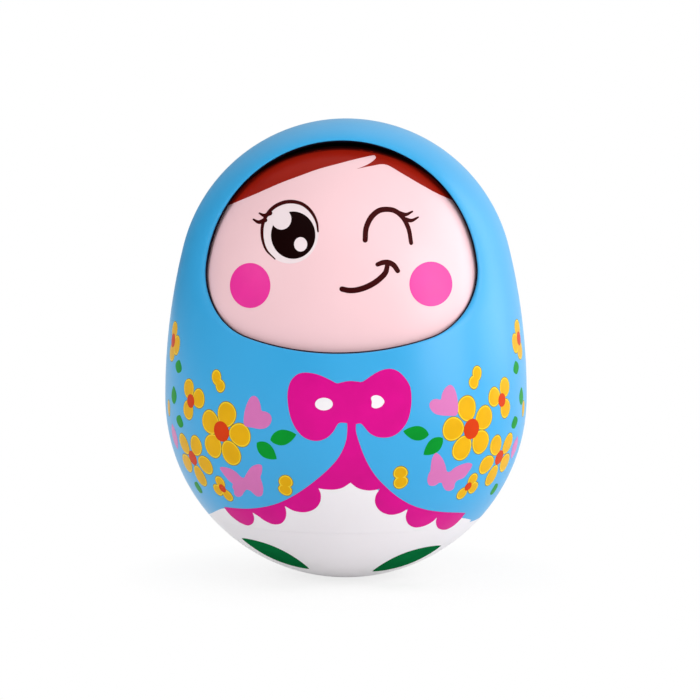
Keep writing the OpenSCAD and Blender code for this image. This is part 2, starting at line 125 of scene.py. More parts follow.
ELEVATION = radians(5.0)
YAW = radians(2.8)
DISTANCE = 1100.0
TARGET = np.array([0.0, 0.0, 89.0])
FOCAL_PX = 2842.87
CENTRE_PX = (346.0, 346.26)
IMAGE_PX = 700
SENSOR = 36.0
CLIP_START, CLIP_END = 0.05, 50.0  # metres
BISECTIONS = 48  # of each ray from the camera
BEFORE_EGG, BEFORE_FACE = 150.0, 120.0  # the rays are searched from this far before the middle

LOOK = np.array([-sin(YAW) * cos(ELEVATION), cos(YAW) * cos(ELEVATION), -sin(ELEVATION)])
RIGHT = np.array([cos(YAW), sin(YAW), 0.0])
UP = np.cross(RIGHT, LOOK)
EYE = TARGET - DISTANCE * LOOK


def in_scene(name, data):
    """A new object of the scene."""
    made = bpy.data.objects.new(name, data)
    bpy.context.scene.collection.objects.link(made)
    return made


def make_camera():
    data = bpy.data.cameras.new("camera")
    data.sensor_fit = "HORIZONTAL"
    data.sensor_width = SENSOR
    data.lens = FOCAL_PX * SENSOR / IMAGE_PX
    data.shift_x = (IMAGE_PX / 2 - CENTRE_PX[0]) / IMAGE_PX
    data.shift_y = (CENTRE_PX[1] - IMAGE_PX / 2) / IMAGE_PX
    data.clip_start = CLIP_START
    data.clip_end = CLIP_END
    camera = in_scene("camera", data)
    camera.location = Vector(EYE / PER_METRE)
    camera.rotation_euler = Vector(LOOK).to_track_quat("-Z", "Y").to_euler()
    bpy.context.scene.camera = camera


def rays(pixels):
    """Directions from the eye through pixels, scaled so that one unit is one millimetre along LOOK."""
    p = np.asarray(pixels, float)
    return (LOOK + np.outer((p[:, 0] - CENTRE_PX[0]) / FOCAL_PX, RIGHT)
            + np.outer((CENTRE_PX[1] - p[:, 1]) / FOCAL_PX, UP))


def first_hit(directions, inside, near, far):
    """Bisects each ray between a point outside and a point inside."""
    low, high = near.copy(), far.copy()
    for _ in range(BISECTIONS):
        mid = (low + high) / 2
        hit = inside(EYE + directions * mid[:, None])
        high = np.where(hit, mid, high)
        low = np.where(hit, low, mid)
    return EYE + directions * high[:, None]


# The two printed surfaces

class Egg:
    """Outside of the egg. u runs round it in mm at the widest line, v runs up along its profile."""

    @staticmethod
    def slope(v):
        """Elevation of the outward normal."""
        v = np.asarray(v, float)
        return np.where(v < 0, v / BASE_R,
                        np.where(v < BLEND_S, v / SIDE_R, BLEND + (v - BLEND_S) / HOOD_R))

    @staticmethod
    def profile(v, h):
        """Radius and height at h above the CAD surface."""
        b = Egg.slope(v)
        low, mid = np.asarray(v) < 0, np.asarray(v) < BLEND_S
        big = np.where(low, BASE_R, np.where(mid, SIDE_R, HOOD_R)) + h
        r = np.where(low, 0.0, np.where(mid, SIDE_C, 0.0)) + big * np.cos(b)
        z = np.where(low, BASE_Z, np.where(mid, BASE_Z, HOOD_Z)) + big * np.sin(b)
        return r, z

    @staticmethod
    def v_at(z, h=0.0):
        z = np.asarray(z, float)
        b_base, b_side, b_hood = (np.arcsin(np.clip((z - middle) / (r + h), -1, 1)) for middle, r in (
            (BASE_Z, BASE_R), (BASE_Z, SIDE_R), (HOOD_Z, HOOD_R)))
        return np.where(z < BASE_Z, BASE_R * b_base,
                        np.where(b_side < BLEND, SIDE_R * b_side, BLEND_S + HOOD_R * (b_hood - BLEND)))

    @staticmethod
    def point(uv, h):
        r, z = Egg.profile(uv[:, 1], h)
        turn = uv[:, 0] / BASE_R
        return columns(r * np.sin(turn), -r * np.cos(turn), z)

    @staticmethod
    def normal(uv):
        b, turn = Egg.slope(uv[:, 1]), uv[:, 0] / BASE_R
        return columns(np.cos(b) * np.sin(turn), -np.cos(b) * np.cos(turn), np.sin(b))

    @staticmethod
    def width(uv):
        """Millimetres on the surface for each unit of u."""
        return Egg.profile(uv[:, 1], 0.0)[0] / BASE_R

    @staticmethod
    def of_point(p, h=0.0):
        return columns(np.arctan2(p[:, 0], -p[:, 1]) * BASE_R, Egg.v_at(p[:, 2], h))

    @staticmethod
    def hit(pixels):
        d = rays(pixels)
        flat = d[:, :2]
        nearest = -(flat @ EYE[:2]) / np.einsum("ij,ij->i", flat, flat)

        def inside(p):
            z = np.clip(p[:, 2], END_MARGIN, HEIGHT - END_MARGIN)
            r = Egg.profile(Egg.v_at(z), 0.0)[0]
            return np.hypot(p[:, 0], p[:, 1]) < np.where(z == p[:, 2], r, 0)

        return Egg.of_point(first_hit(d, inside, nearest - BEFORE_EGG, nearest))

    @staticmethod
    def local(centre, shape):
        """Places a shape drawn in mm round a centre (u, v)."""
        v = centre[1] + shape[:, 1]
        wide = Egg.profile(v, 0.0)[0] / BASE_R
        return columns(centre[0] + shape[:, 0] / wide, v)


CHEEK_FULL = 1.0  # the cheeks stand this far out from the arc of the CAD face
CHEEK_TOP, CHEEK_END = 0.80, 1.08  # angles along the arc where they are fullest and where they end


def fullness(a):
    """Height of the cheeks over the arc, and its slope, at an angle along the arc."""
    s = np.abs(a)
    up, down = np.clip(s / CHEEK_TOP, 0, 1), np.clip((CHEEK_END - s) / (CHEEK_END - CHEEK_TOP), 0, 1)
    k = np.where(s < CHEEK_TOP, up, down)
    run = np.where(s < CHEEK_TOP, 1 / CHEEK_TOP, -1 / (CHEEK_END - CHEEK_TOP)) * np.sign(a)
    return CHEEK_FULL * smoothstep(k), CHEEK_FULL * 6 * k * (1 - k) * run


class Face:
    """Outside of the face. u runs along its arc in mm, v runs round the axle in mm at the middle."""

    @staticmethod
    def point(uv, h):
        a, turn = uv[:, 0] / FACE_ARC, uv[:, 1] / FACE_R
        r = FACE_ARC + h + fullness(a)[0]
        rho = FACE_OFF + r * np.cos(a)
        return columns(r * np.sin(a), -rho * np.cos(turn), AXLE_Z + rho * np.sin(turn))

    @staticmethod
    def normal(uv):
        a, turn = uv[:, 0] / FACE_ARC, uv[:, 1] / FACE_R
        a = a - np.arctan(fullness(a)[1] / FACE_ARC)
        return columns(np.sin(a), -np.cos(a) * np.cos(turn), np.cos(a) * np.sin(turn))

    @staticmethod
    def width(uv):
        return FACE_R / (FACE_OFF + FACE_ARC * np.cos(uv[:, 0] / FACE_ARC))

    @staticmethod
    def hit(pixels):
        d = rays(pixels)
        middle = -EYE[1] / d[:, 1]

        def polar(p):
            x, y = p[:, 0], np.hypot(p[:, 1], p[:, 2] - AXLE_Z) - FACE_OFF
            return np.hypot(x, y), np.arctan2(x, y)

        def inside(p):
            r, a = polar(p)
            return r < FACE_ARC + fullness(a)[0]

        p = first_hit(d, inside, middle - BEFORE_FACE, middle)
        return columns(polar(p)[1] * FACE_ARC,
                       np.arctan2(p[:, 2] - AXLE_Z, -p[:, 1]) * FACE_R)


# Meshes

def mesh_object(name, points, faces, material, body, flat=(), normals=None, second=None, painted=()):
    """A mesh in metres that rides on a body. Faces numbered in flat keep hard edges, and those numbered in
    painted take the second material."""
    mesh = bpy.data.meshes.new(name)
    mesh.from_pydata((np.asarray(points) / PER_METRE).tolist(), [], [list(map(int, f)) for f in faces])
    smooth = np.ones(len(mesh.polygons), bool)
    smooth[list(flat)] = False
    mesh.polygons.foreach_set("use_smooth", smooth)
    mesh.materials.append(material)
    # the second material is the painted shade of the gaps round the face
    if second:
        mesh.materials.append(second)
        index = np.zeros(len(mesh.polygons), np.int32)
        index[list(painted)] = 1
        mesh.polygons.foreach_set("material_index", index)
    mesh.update()
    if normals is not None:
        mesh.normals_split_custom_set_from_vertices([tuple(n) for n in normals])
    piece = in_scene(name, mesh)
    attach(piece, body)
    return piece


def inside_loops(points, loops):
    """Even-odd test of points against closed loops."""
    odd = np.zeros(len(points), bool)
    for loop in loops:
        nxt = np.roll(loop, -1, axis=0)
        for (x0, y0), (x1, y1) in zip(loop, nxt):
            cross = (y0 > points[:, 1]) != (y1 > points[:, 1])
            if cross.any():
                x = x0 + (points[:, 1] - y0) * (x1 - x0) / (y1 - y0 if y1 != y0 else 1)
                odd ^= cross & (points[:, 0] < x)
    return odd


def triangulate(loops, extra):
    """Triangles between closed loops, with extra points inside. Loop points keep their numbers."""
    points = np.vstack(list(loops) + [extra])
    edges, start = [], 0
    for loop in loops:
        n = len(loop)
        edges += [(start + i, start + (i + 1) % n) for i in range(n)]
        start += n
    found = delaunay_2d_cdt([Vector(p) for p in points], edges, [], 0, CDT_CLOSE, True)
    origin = [o[0] if o else -1 for o in found[3]]
    if min(origin) < 0 or len(found[0]) != len(points):
        raise ValueError("an outline crosses itself")
    tri = np.array([[origin[i] for i in f] for f in found[2]])
    middle = points[tri].mean(axis=1)
    return tri[inside_loops(middle, loops)]


def far_from(points, others, gap):
    """Marks the points at least gap away from all the others."""
    tree = KDTree(len(others))
    for i, p in enumerate(others):
        tree.insert(Vector(p).to_3d(), i)
    tree.balance()
    return np.array([tree.find(Vector(p).to_3d())[2] >= gap for p in points], bool)


def strip(row_a, row_b, closed=True):
    """Quads between two rows of point numbers."""
    n = len(row_a)
    last = n if closed else n - 1
    return [(row_a[i], row_a[(i + 1) % n], row_b[(i + 1) % n], row_b[i]) for i in range(last)]


def fan(row, hub):
    """Triangles from a closed row of point numbers to one point."""
    return [(row[i - 1], row[i], hub) for i in range(len(row))]


ROW_STEP = 0.866  # rows of a grid of triangles lie this share of its spacing apart
INK_GRID = 2.0  # spacing of the points inside an ink patch
INK_CLEAR = 0.45 * INK_GRID  # of those points from its edge
INK_FOOT = -0.13  # underside of all ink, just under the visible skin
INK_TOPS = [-0.08, -0.07, -0.06, -0.05, -0.04, -0.03]  # upper sides of its layers, all under the CAD surface


def ink_patch(surface, loops, layer):
    """A thin closed solid of ink on a surface, from loops in its (u, v)."""
    every = np.vstack(loops)
    wide = np.array([float(np.mean(surface.width(every))), 1.0])
    if surface is Face:
        wide = np.array([1.0, 1.0 / wide[0]])
    flat = [loop * wide for loop in loops]
    low, high = (every * wide).min(axis=0), (every * wide).max(axis=0)
    rows = np.arange(low[1] + INK_GRID / 2, high[1], INK_GRID * ROW_STEP)
    grid = np.array([(x + (k % 2) * INK_GRID / 2, y) for k, y in enumerate(rows)
                     for x in np.arange(low[0] + INK_GRID / 3, high[0], INK_GRID)]).reshape(-1, 2)
    grid = grid[inside_loops(grid, flat)]
    grid = grid[far_from(grid, np.vstack(flat), INK_CLEAR)]
    tri = triangulate(flat, grid)
    uv = np.vstack([every, grid / wide])
    n = len(uv)
    points = np.vstack([surface.point(uv, INK_TOPS[layer]), surface.point(uv, INK_FOOT)])
    normals = np.vstack([surface.normal(uv), np.zeros((n, 3))])
    directed = dict.fromkeys((t[i], t[(i + 1) % 3]) for t in tri for i in range(3))
    walls = [(a, a + n, b + n, b) for a, b in directed if (b, a) not in directed]
    faces = [tuple(t) for t in tri] + [(c + n, b + n, a + n) for a, b, c in tri] + walls
    flat_from = 2 * len(tri)
    return points, faces, normals, range(flat_from, len(faces))


def ink(name, surface, patches, layer, material, body):
    """One piece for all the patches of one ink colour. Each patch is a list of loops in (u, v)."""
    points, faces, normals, flat = [], [], [], []
    for loops in patches:
        p, f, n, w = ink_patch(surface, loops, layer)
        at, first = sum(len(q) for q in points), len(faces)
        points.append(p)
        normals.append(n)
        faces += [tuple(int(i) + at for i in g) for g in f]
        flat += [first + i for i in w]
    return mesh_object(name, np.vstack(points), faces, material, body, flat, np.vstack(normals))


# Outlines

def curve(points, steps=6, closed=True):
    """Smooth curve through points."""
    p = np.asarray(points, float)
    if closed:
        p = np.vstack([p[-1], p, p[0], p[1]])
    else:
        p = np.vstack([2 * p[0] - p[1], p, 2 * p[-1] - p[-2]])
    out = []
    for a, b, c, d in zip(p[:-3], p[1:-2], p[2:-1], p[3:]):
        ta, tb, tc = (max(sqrt(np.linalg.norm(q - r)), SAME_POINT) for q, r in ((b, a), (c, b), (d, c)))
        m1 = tb * ((b - a) / ta - (c - a) / (ta + tb) + (c - b) / tb)
        m2 = tb * ((c - b) / tb - (d - b) / (tb + tc) + (d - c) / tc)
        for k in range(steps):
            t = k / steps
            out.append((2 * t ** 3 - 3 * t ** 2 + 1) * b + (t ** 3 - 2 * t ** 2 + t) * m1
                       + (3 * t ** 2 - 2 * t ** 3) * c + (t ** 3 - t ** 2) * m2)
    if not closed:
        out.append(p[-2])
    return np.array(out)


def open_curve(points, steps):
    return curve(points, steps, closed=False)


def joined(*parts):
    """A closed outline of open curves that meet in corners."""
    out = []
    for part in parts:
        for q in part:
            if not out or np.linalg.norm(np.asarray(q) - out[-1]) > SAME_POINT:
                out.append(np.asarray(q, float))
    if np.linalg.norm(out[0] - out[-1]) < SAME_POINT:
        out.pop()
    return np.array(out)


def placed(x, y, turn, at=(0, 0)):
    """Points turned about the origin and then moved."""
    c, s = cos(turn), sin(turn)
    return columns(at[0] + c * x - s * y, at[1] + s * x + c * y)


def ellipse(half_w, half_h, turn=0.0, n=28, egg=0.0):
    """Ellipse about the origin. egg widens the far end of it along its own height."""
    t = circle(n)
    return placed(half_w * np.cos(t) * (1 + egg * np.sin(t)), half_h * np.sin(t), turn)


def leaf(length, width, turn, at=(0, 0), n=14, belly=0.5, blunt=0.8):
    """Pointed oval along a direction, widest at the share belly of its length."""
    t = np.arange(n + 1) / n
    half = width / 2 * np.sin(pi * t ** (log(0.5) / log(belly))) ** blunt
    x = (t - 0.5) * length
    up, down = columns(x, half), columns(x, -half)[::-1][1:-1]
    p = np.vstack([up, down])
    return placed(p[:, 0], p[:, 1], turn, at)[::-1]


CAP_POINTS = 7  # on each round end of a stroke


def stroke(points, widths, steps=8):
    """Outline of a brush stroke through points, with a width at each of them and round ends."""
    line = open_curve(points, steps)
    n = len(line)
    w = np.interp(np.linspace(0, 1, n), np.linspace(0, 1, len(widths)), widths) / 2
    along = np.gradient(line, axis=0)
    along /= np.linalg.norm(along, axis=1)[:, None]
    side = columns(-along[:, 1], along[:, 0])
    left, right = line + side * w[:, None], line - side * w[:, None]
    cap = np.linspace(0, pi, CAP_POINTS)[1:-1]
    end = [line[-1] + w[-1] * (cos(a) * side[-1] + sin(a) * along[-1]) for a in cap]
    start = [line[0] + w[0] * (-cos(a) * side[0] - sin(a) * along[0]) for a in cap]
    return np.vstack([left, end, right[::-1], start])


# Materials

def srgb(r, g, b):
    """Linear colour of an 8-bit display colour."""
    return tuple(c / 255 / 12.92 if c <= 10 else ((c / 255 + 0.055) / 1.055) ** 2.4 for c in (r, g, b))


def feed(tree, node, sockets):
    """Sets sockets of a node, each to a value or by a link from the output of another node."""
    for socket, value in sockets.items():
        if isinstance(value, bpy.types.NodeSocket):
            tree.links.new(value, node.inputs[socket])
        else:
            node.inputs[socket].default_value = value


def add_node(tree, kind, sockets, operation=None):
    """A new shader node with its sockets set."""
    node = tree.nodes.new("ShaderNode" + kind)
    if operation:
        node.operation = operation
    feed(tree, node, sockets)
    return node


NOISE_SPAN = (0.3, 0.7)  # the values that the noise mostly lies between
COLOUR_DETAIL, FINE_DETAIL = 3, 2
GLOSS_PATCH = 0.6  # scale of the uneven gloss beside that of the uneven colour
GLOSS_SPREAD = 0.15
GRAIN_DEEP = 0.0005  # metres


def material(name, colour, rough, metal=0.0, mottle=0.05, patch=90.0, grain=900.0, bump=0.02, specular=0.5):
    """Moulded plastic, ink or metal: uneven density of the colour, uneven gloss and a fine grain."""
    made = bpy.data.materials.new(name)
    made.use_nodes = True
    tree = made.node_tree
    where = add_node(tree, "TexCoord", {}).outputs["Object"]

    def noise(scale, detail):
        return add_node(tree, "TexNoise", {"Scale": scale, "Detail": detail, "Vector": where}).outputs["Fac"]

    density = add_node(tree, "ValToRGB", {"Fac": noise(patch, COLOUR_DETAIL)})
    for stop, at, share in zip(density.color_ramp.elements, NOISE_SPAN, (1 - mottle, 1 + mottle)):
        stop.position = at
        stop.color = (*(min(1, c * share) for c in colour), 1)
    gloss = add_node(tree, "MapRange", {
        "From Min": NOISE_SPAN[0], "From Max": NOISE_SPAN[1], "To Min": rough * (1 - GLOSS_SPREAD),
        "To Max": rough * (1 + GLOSS_SPREAD), "Value": noise(patch * GLOSS_PATCH, FINE_DETAIL)})
    peel = add_node(tree, "Bump", {
        "Strength": bump, "Distance": GRAIN_DEEP, "Height": noise(grain, FINE_DETAIL)})
    feed(tree, tree.nodes["Principled BSDF"], {
        "Metallic": metal, "Specular IOR Level": specular, "Base Color": density.outputs["Color"],
        "Roughness": gloss.outputs["Result"], "Normal": peel.outputs["Normal"]})
    return made


INK_ROUGH = 0.34


def ink_material(name, colour, mottle, specular=0.08, rough=INK_ROUGH):
    return material(name, srgb(*colour), rough, mottle=mottle, specular=specular)


BLUE = material("blue_plastic", srgb(44, 159, 215), 0.34, mottle=0.02, patch=30, specular=0.45)
WHITE = material("white_plastic", srgb(233, 229, 232), 0.34, mottle=0.01, patch=30, specular=0.3)
SKIN = material("pink_plastic", srgb(235, 195, 200), 0.36, mottle=0.01, patch=30, specular=0.5)
# painted shade: near-black for the window's inner edge and the face's top, where the gap under the hood lies
# in shadow
SHADE_DARK = material("painted_shade", srgb(20, 14, 34), 0.6, mottle=0.1, specular=0.1)
INK_WHITE = material("white_ink", srgb(233, 229, 232), 0.34, mottle=0.01, patch=30, specular=0.3)
INK_PINK = ink_material("pink_ink", (206, 8, 132), 0.05)
INK_CHEEK = ink_material("cheek_ink", (228, 30, 148), 0.05, 0.50, 0.36)
INK_HAIR = ink_material("hair_ink", (146, 26, 12), 0.07, 0.06, 0.32)
# painted shadow: darker hair inks for the shade that the hood casts along the top of the hair
INK_HAIR_SHADOW = ink_material("hair_shadow_ink", (92, 15, 9), 0.07, 0.05, 0.32)
INK_HAIR_DEEP_SHADOW = ink_material("hair_deep_shadow_ink", (42, 7, 7), 0.07, 0.05, 0.32)
INK_LINE = ink_material("line_ink", (54, 3, 4), 0.10)
INK_IRIS = ink_material("iris_ink", (18, 2, 2), 0.10, 0.06)
INK_EYE = ink_material("eye_white_ink", (228, 212, 215), 0.02, 0.30, 0.36)
INK_PETAL = ink_material("petal_ink", (220, 166, 10), 0.06)
INK_RIM = ink_material("petal_rim_ink", (234, 198, 46), 0.05)
INK_HEART = ink_material("flower_heart_ink", (202, 56, 6), 0.08)
INK_LEAF = ink_material("leaf_ink", (2, 140, 42), 0.08, 0.06)
INK_LILAC = ink_material("lilac_ink", (203, 107, 172), 0.04, 0.30, 0.36)
INK_OVAL = ink_material("oval_ink", (10, 104, 54), 0.10, 0.00, 0.40)
INK_OLIVE = ink_material("petal_line_ink", (128, 112, 44), 0.08)

IVORY = material("ivory_plastic", srgb(232, 226, 212), 0.45, mottle=0.03)
ZINC = material("zinc_plate", (0.60, 0.60, 0.61), 0.32, metal=1.0, mottle=0.08, patch=400)
STEEL = material("bare_steel", (0.50, 0.50, 0.52), 0.38, metal=1.0, mottle=0.10, patch=300)
IRON = material("cast_iron", (0.12, 0.12, 0.13), 0.65, metal=1.0, mottle=0.20, patch=200, bump=0.25)
BRASS = material("spun_brass", (0.72, 0.52, 0.20), 0.28, metal=1.0, mottle=0.08, patch=250)

CAD_FINISH = [
    (ZINC, ["shell_screws", "head_screws", "head_weight_screws", "ballast_screws"]),
    (STEEL, ["head_axle", "head_weight", "bell_bolt", "bell_nut", "clapper_pin", "clapper_arm",
             "clapper_ball"]),
    (IVORY, ["left_bush", "right_bush", "head_back", "bell_bracket"]),
    (IRON, ["ballast_weight"]),
    (BRASS, ["bell"]),
]

# The half shells

SHELL_GRID = 2.4  # spacing of the points on the shells
SHELL_START = 0.8 * SHELL_GRID  # of the first row of them from the lower edge
SHELL_CLEAR = 0.5 * SHELL_GRID  # of all of them from the edges
SEAM_ROUND = 0.30  # rounding along the seam between the half shells
FOOT_ROUND = 0.02  # rounding along the parting line with the bowl
SEAM_HALF_GAP = 0.02
SEAM_POINTS, FOOT_POINTS = 116, 80
SEAM_TOP = 2.0  # the points of the seam end this far before the top of the egg
SEAM_LAST = [1.3, 0.8, 0.5]  # but for these
EDGE_ROWS = 4  # rows of faces round the rounded edge
HARD_ANGLE = 40  # degrees, sharper edges are shaded hard
PARTING_GAP = 0.01
FOOT_Z = PARTING_Z + PARTING_GAP


def window_outline():
    """Points on the window's edge seen along Y, (x, z), and their outward directions."""
    to_top, to_chin = RIM_R - RIM_CORNER_R, RIM_CHIN_R - RIM_CORNER_R
    chin_centre = RIM_CHIN_Z + RIM_CHIN_R
    span = chin_centre - RIM_Z
    rise = (to_top ** 2 - to_chin ** 2 + span ** 2) / (2 * span)
    cx, cz = sqrt(to_top ** 2 - rise ** 2), RIM_Z + rise
    a_top = atan2(rise, cx)
    a_chin = atan2(cz - chin_centre, cx)
    arcs = [(0, RIM_Z, RIM_R, a_top, pi - a_top),
            (-cx, cz, RIM_CORNER_R, pi - a_top, pi - a_chin),
            (0, chin_centre, RIM_CHIN_R, -pi - a_chin, a_chin),
            (cx, cz, RIM_CORNER_R, a_chin, a_top)]
    points, outward = [], []
    for x, z, r, a0, a1 in arcs:
        n = max(4, int(r * abs(a1 - a0) / RIM_STEP))
        for k in range(n):
            a = a0 + (a1 - a0) * k / n
            outward.append((cos(a), sin(a)))
            points.append((x + r * cos(a), z + r * sin(a)))
    return np.array(points), np.array(outward)


def on_front(xz):
    """Points of the visible skin in front of (x, z)."""
    r = Egg.profile(Egg.v_at(xz[:, 1], -INSET), -INSET)[0]
    return columns(xz[:, 0], -np.sqrt(np.clip(r ** 2 - xz[:, 0] ** 2, 0, None)), xz[:, 1])


def seam_loop():
    """Edge of a half shell in (u, v), and for each point its rounding and its way to the edge."""
    low = float(Egg.v_at(FOOT_Z + FOOT_ROUND, -INSET))
    heights = np.append(np.linspace(low, TOP_S - SEAM_TOP, SEAM_POINTS), TOP_S - np.array(SEAM_LAST))
    r = Egg.profile(heights, -INSET)[0]
    turn = np.arccos(np.clip(SEAM_ROUND / r, -1, 1))
    right = columns(turn * BASE_R, heights)
    left = columns(-turn * BASE_R, heights)[::-1]
    top = np.array([[0.0, TOP_S - SEAM_ROUND]])
    end = turn[0] * BASE_R
    across = np.linspace(-end, end, FOOT_POINTS)[1:-1]
    foot = columns(across, np.full(len(across), low))
    loop = np.vstack([right, top, left, foot])
    ways = np.zeros((len(loop), 3))
    reach = np.full(len(loop), SEAM_ROUND - SEAM_HALF_GAP)
    seam = len(right) + 1 + len(left)
    ways[:seam] = (0, 1, 0)
    b, t = Egg.slope(low), foot[:, 0] / BASE_R
    down = columns(np.sin(b) * np.sin(t), -np.sin(b) * np.cos(t), np.full(len(t), -np.cos(b)))
    ways[seam:] = down
    reach[seam:] = FOOT_ROUND
    for corner in (0, seam - 1):
        ways[corner] += (0, 0, -FOOT_ROUND / SEAM_ROUND)
    return loop, ways, reach


def to_polar(uv):
    """Flat chart of the egg about its top."""
    s, turn = TOP_S - uv[:, 1], uv[:, 0] / BASE_R
    return columns(s * np.sin(turn), -s * np.cos(turn))


def half_shell(name, holes, material_of, turned):
    """A closed half shell. Each hole has its loop in (u, v), rows of points from the loop inwards on the
    outside, whether those rows end in a floor, and rows on the inside."""
    edge, ways, reach = seam_loop()
    loops = [edge] + [h["loop"] for h in holes]
    border = np.vstack(loops)
    heights = np.arange(edge[:, 1].min() + SHELL_START, TOP_S, SHELL_GRID * ROW_STEP)
    grid = []
    for k, v in enumerate(heights):
        r = float(Egg.profile(v, 0.0)[0])
        n = max(1, int(pi * r / SHELL_GRID))
        grid += [((i + 0.5 * (k % 2)) / n * pi - pi / 2, v) for i in range(n + 1)]
    grid = np.array(grid) * (BASE_R, 1)
    charts = [to_polar(loop) for loop in loops]
    grid = grid[inside_loops(to_polar(grid), charts)]
    grid = grid[far_from(Egg.point(grid, 0), Egg.point(border, 0), SHELL_CLEAR)]
    tri = triangulate(charts, to_polar(grid))
    uv = np.vstack([border, grid])
    n = len(uv)
    outer, inner = Egg.point(uv, -INSET), Egg.point(uv, -INSET - WALL)
    points = [outer, inner]
    normals = [Egg.normal(uv), np.zeros((n, 3))]
    faces = [tuple(t) for t in tri] + [(c + n, b + n, a + n) for a, b, c in tri]
    count = 2 * n

    def add(row):
        nonlocal count
        points.append(row)
        normals.append(np.zeros((len(row), 3)))
        count += len(row)
        return list(range(count - len(row), count))

    # rounded edge along the seam and the parting line, and round to the inside
    ring = list(range(len(edge)))
    e_normals = Egg.normal(edge)
    p0, rows = outer[:len(edge)], [ring]
    for a in quarter(EDGE_ROWS):
        rows.append(add(p0 + ways * (reach * sin(a))[:, None]
                        - e_normals * (reach * (1 - cos(a)))[:, None]))
    rows.append(add(inner[:len(edge)] + ways * reach[:, None]))
    rows.append([i + n for i in ring])
    for a, b in zip(rows, rows[1:]):
        faces += strip(b, a)
    start, painted = len(edge), []
    for h in holes:
        m = len(h["loop"])
        rows = [list(range(start, start + m))] + [add(r) for r in h["outside"]]
        if h["floor"] is None:
            rows += [add(r) for r in h["inside"]] + [list(range(start + n, start + n + m))]
        for k, (a, b) in enumerate(zip(rows, rows[1:])):
            # strips from the hole's first shaded row inwards take the painted shade
            if k >= h["painted_shade_from"]:
                painted += range(len(faces), len(faces) + m)
            faces += strip(a, b)
        if h["floor"] is not None:
            faces += fan(rows[-1], add(h["floor"][None])[0])
            rows = [list(range(start + n, start + n + m))] + [add(r) for r in h["inside"]]
            for a, b in zip(rows, rows[1:]):
                faces += strip(b, a)
            faces += fan(rows[-1][::-1], add(h["post"][None])[0])
        start += m
    every, all_normals = np.vstack(points), np.vstack(normals)
    if turned:
        every, all_normals = every * (-1, -1, 1), all_normals * (-1, -1, 1)
    return mesh_object(name, every, faces, material_of, "body", (), all_normals, SHADE_DARK, painted)


# visible edge of the window, rounded back from the CAD edge: a top circle, a flat chin arc and two corners
RIM_R, RIM_Z = 51.0, 117.8
RIM_STEP = 1.4  # between points on it
RIM_CHIN_R, RIM_CHIN_Z = 118.0, 92.2
RIM_CORNER_R = 24.3
LIP_WIDE, LIP_DEEP = 4.4, 2.8  # rolled edge of the window over the face, seen from the front
LIP_WIDE_CHIN, LIP_DEEP_CHIN = 0.7, 0.5
LIP_FADE = (97.0, 113.0)  # heights between which the rolled edge grows
LIP_FLANK_WIDE, LIP_FLANK_DEEP = 3.4, 0.5  # the rounding is this much larger beside the cheeks
LIP_FLANK = (128.0, 152.0)  # and that fades out between these heights
LIP_LAND = (0.6, 2.4)  # least and most depth of the straight part behind the rounding
LIP_CLEAR = 1.3  # room between its end and the face, from front to back
LIP_LINE, LIP_LINE_CHIN = 0.6, 0.4  # dark line that shows between the rounding and the face, painted shade standing in for the shadowed gap
LIP_TURN = ((0.15, 0.25), (0.6, 0.4))  # rows behind that line, each outwards and to the rear, also in painted shade
LIP_ROWS = 12  # rows of faces on the rounding
FACE_SEARCH = 5  # rounds in which the cheeks' place on the arc settles


def face_y(xz):
    """Y of the outside of the face at places seen from the front."""
    a = np.zeros(len(xz))
    for _ in range(FACE_SEARCH):
        r = FACE_ARC + fullness(a)[0]
        a = np.arcsin(np.clip(xz[:, 0] / r, -1, 1))
    rho = FACE_OFF + r * np.cos(a)
    return -np.sqrt(np.clip(rho ** 2 - (xz[:, 1] - AXLE_Z) ** 2, 0, None))


def window_hole():
    """The window with its rolled edge, painted dark as shade from the end of the rounding inwards."""
    xz, out = window_outline()
    share = smoothstep((xz[:, 1] - LIP_FADE[0]) / (LIP_FADE[1] - LIP_FADE[0]))
    flank = smoothstep((LIP_FLANK[1] - xz[:, 1]) / (LIP_FLANK[1] - LIP_FLANK[0]))
    wide = LIP_WIDE_CHIN + (LIP_WIDE + LIP_FLANK_WIDE * flank - LIP_WIDE_CHIN) * share
    deep = LIP_DEEP_CHIN + (LIP_DEEP + LIP_FLANK_DEEP * flank - LIP_DEEP_CHIN) * share
    back = np.array([0.0, 1.0, 0.0])

    def row(t, depth):
        return on_front(xz + out * t[:, None]) + depth[:, None] * back

    outside = [row(wide * (1 - sin(a)), deep * (1 - cos(a))) for a in quarter(LIP_ROWS)]
    line = LIP_LINE_CHIN + (LIP_LINE - LIP_LINE_CHIN) * share
    end = xz - out * line[:, None]
    land = np.clip(face_y(end) - on_front(end)[:, 1] - deep - LIP_CLEAR, *LIP_LAND)
    (near, near_back), (far, far_back) = LIP_TURN
    inside = [row(-line / 2, deep + land / 2), row(-line, deep + land),
              row(near - line, deep + land + near_back),
              row(np.full(len(line), far), deep + land + far_back)]
    loop = Egg.of_point(on_front(xz + out * wide[:, None]), -INSET)
    # from the end of the rounding inwards the faces take the painted shade
    return {"loop": loop, "outside": outside, "inside": inside, "floor": None, "painted_shade_from": len(outside)}


WELL_POINTS, WELL_ROWS = 40, 5  # round a well, and over its rounded mouth
WELL_LIP = 0.5  # rounding of the mouth
WELL_POST_Y = -0.1  # end of the post round a well


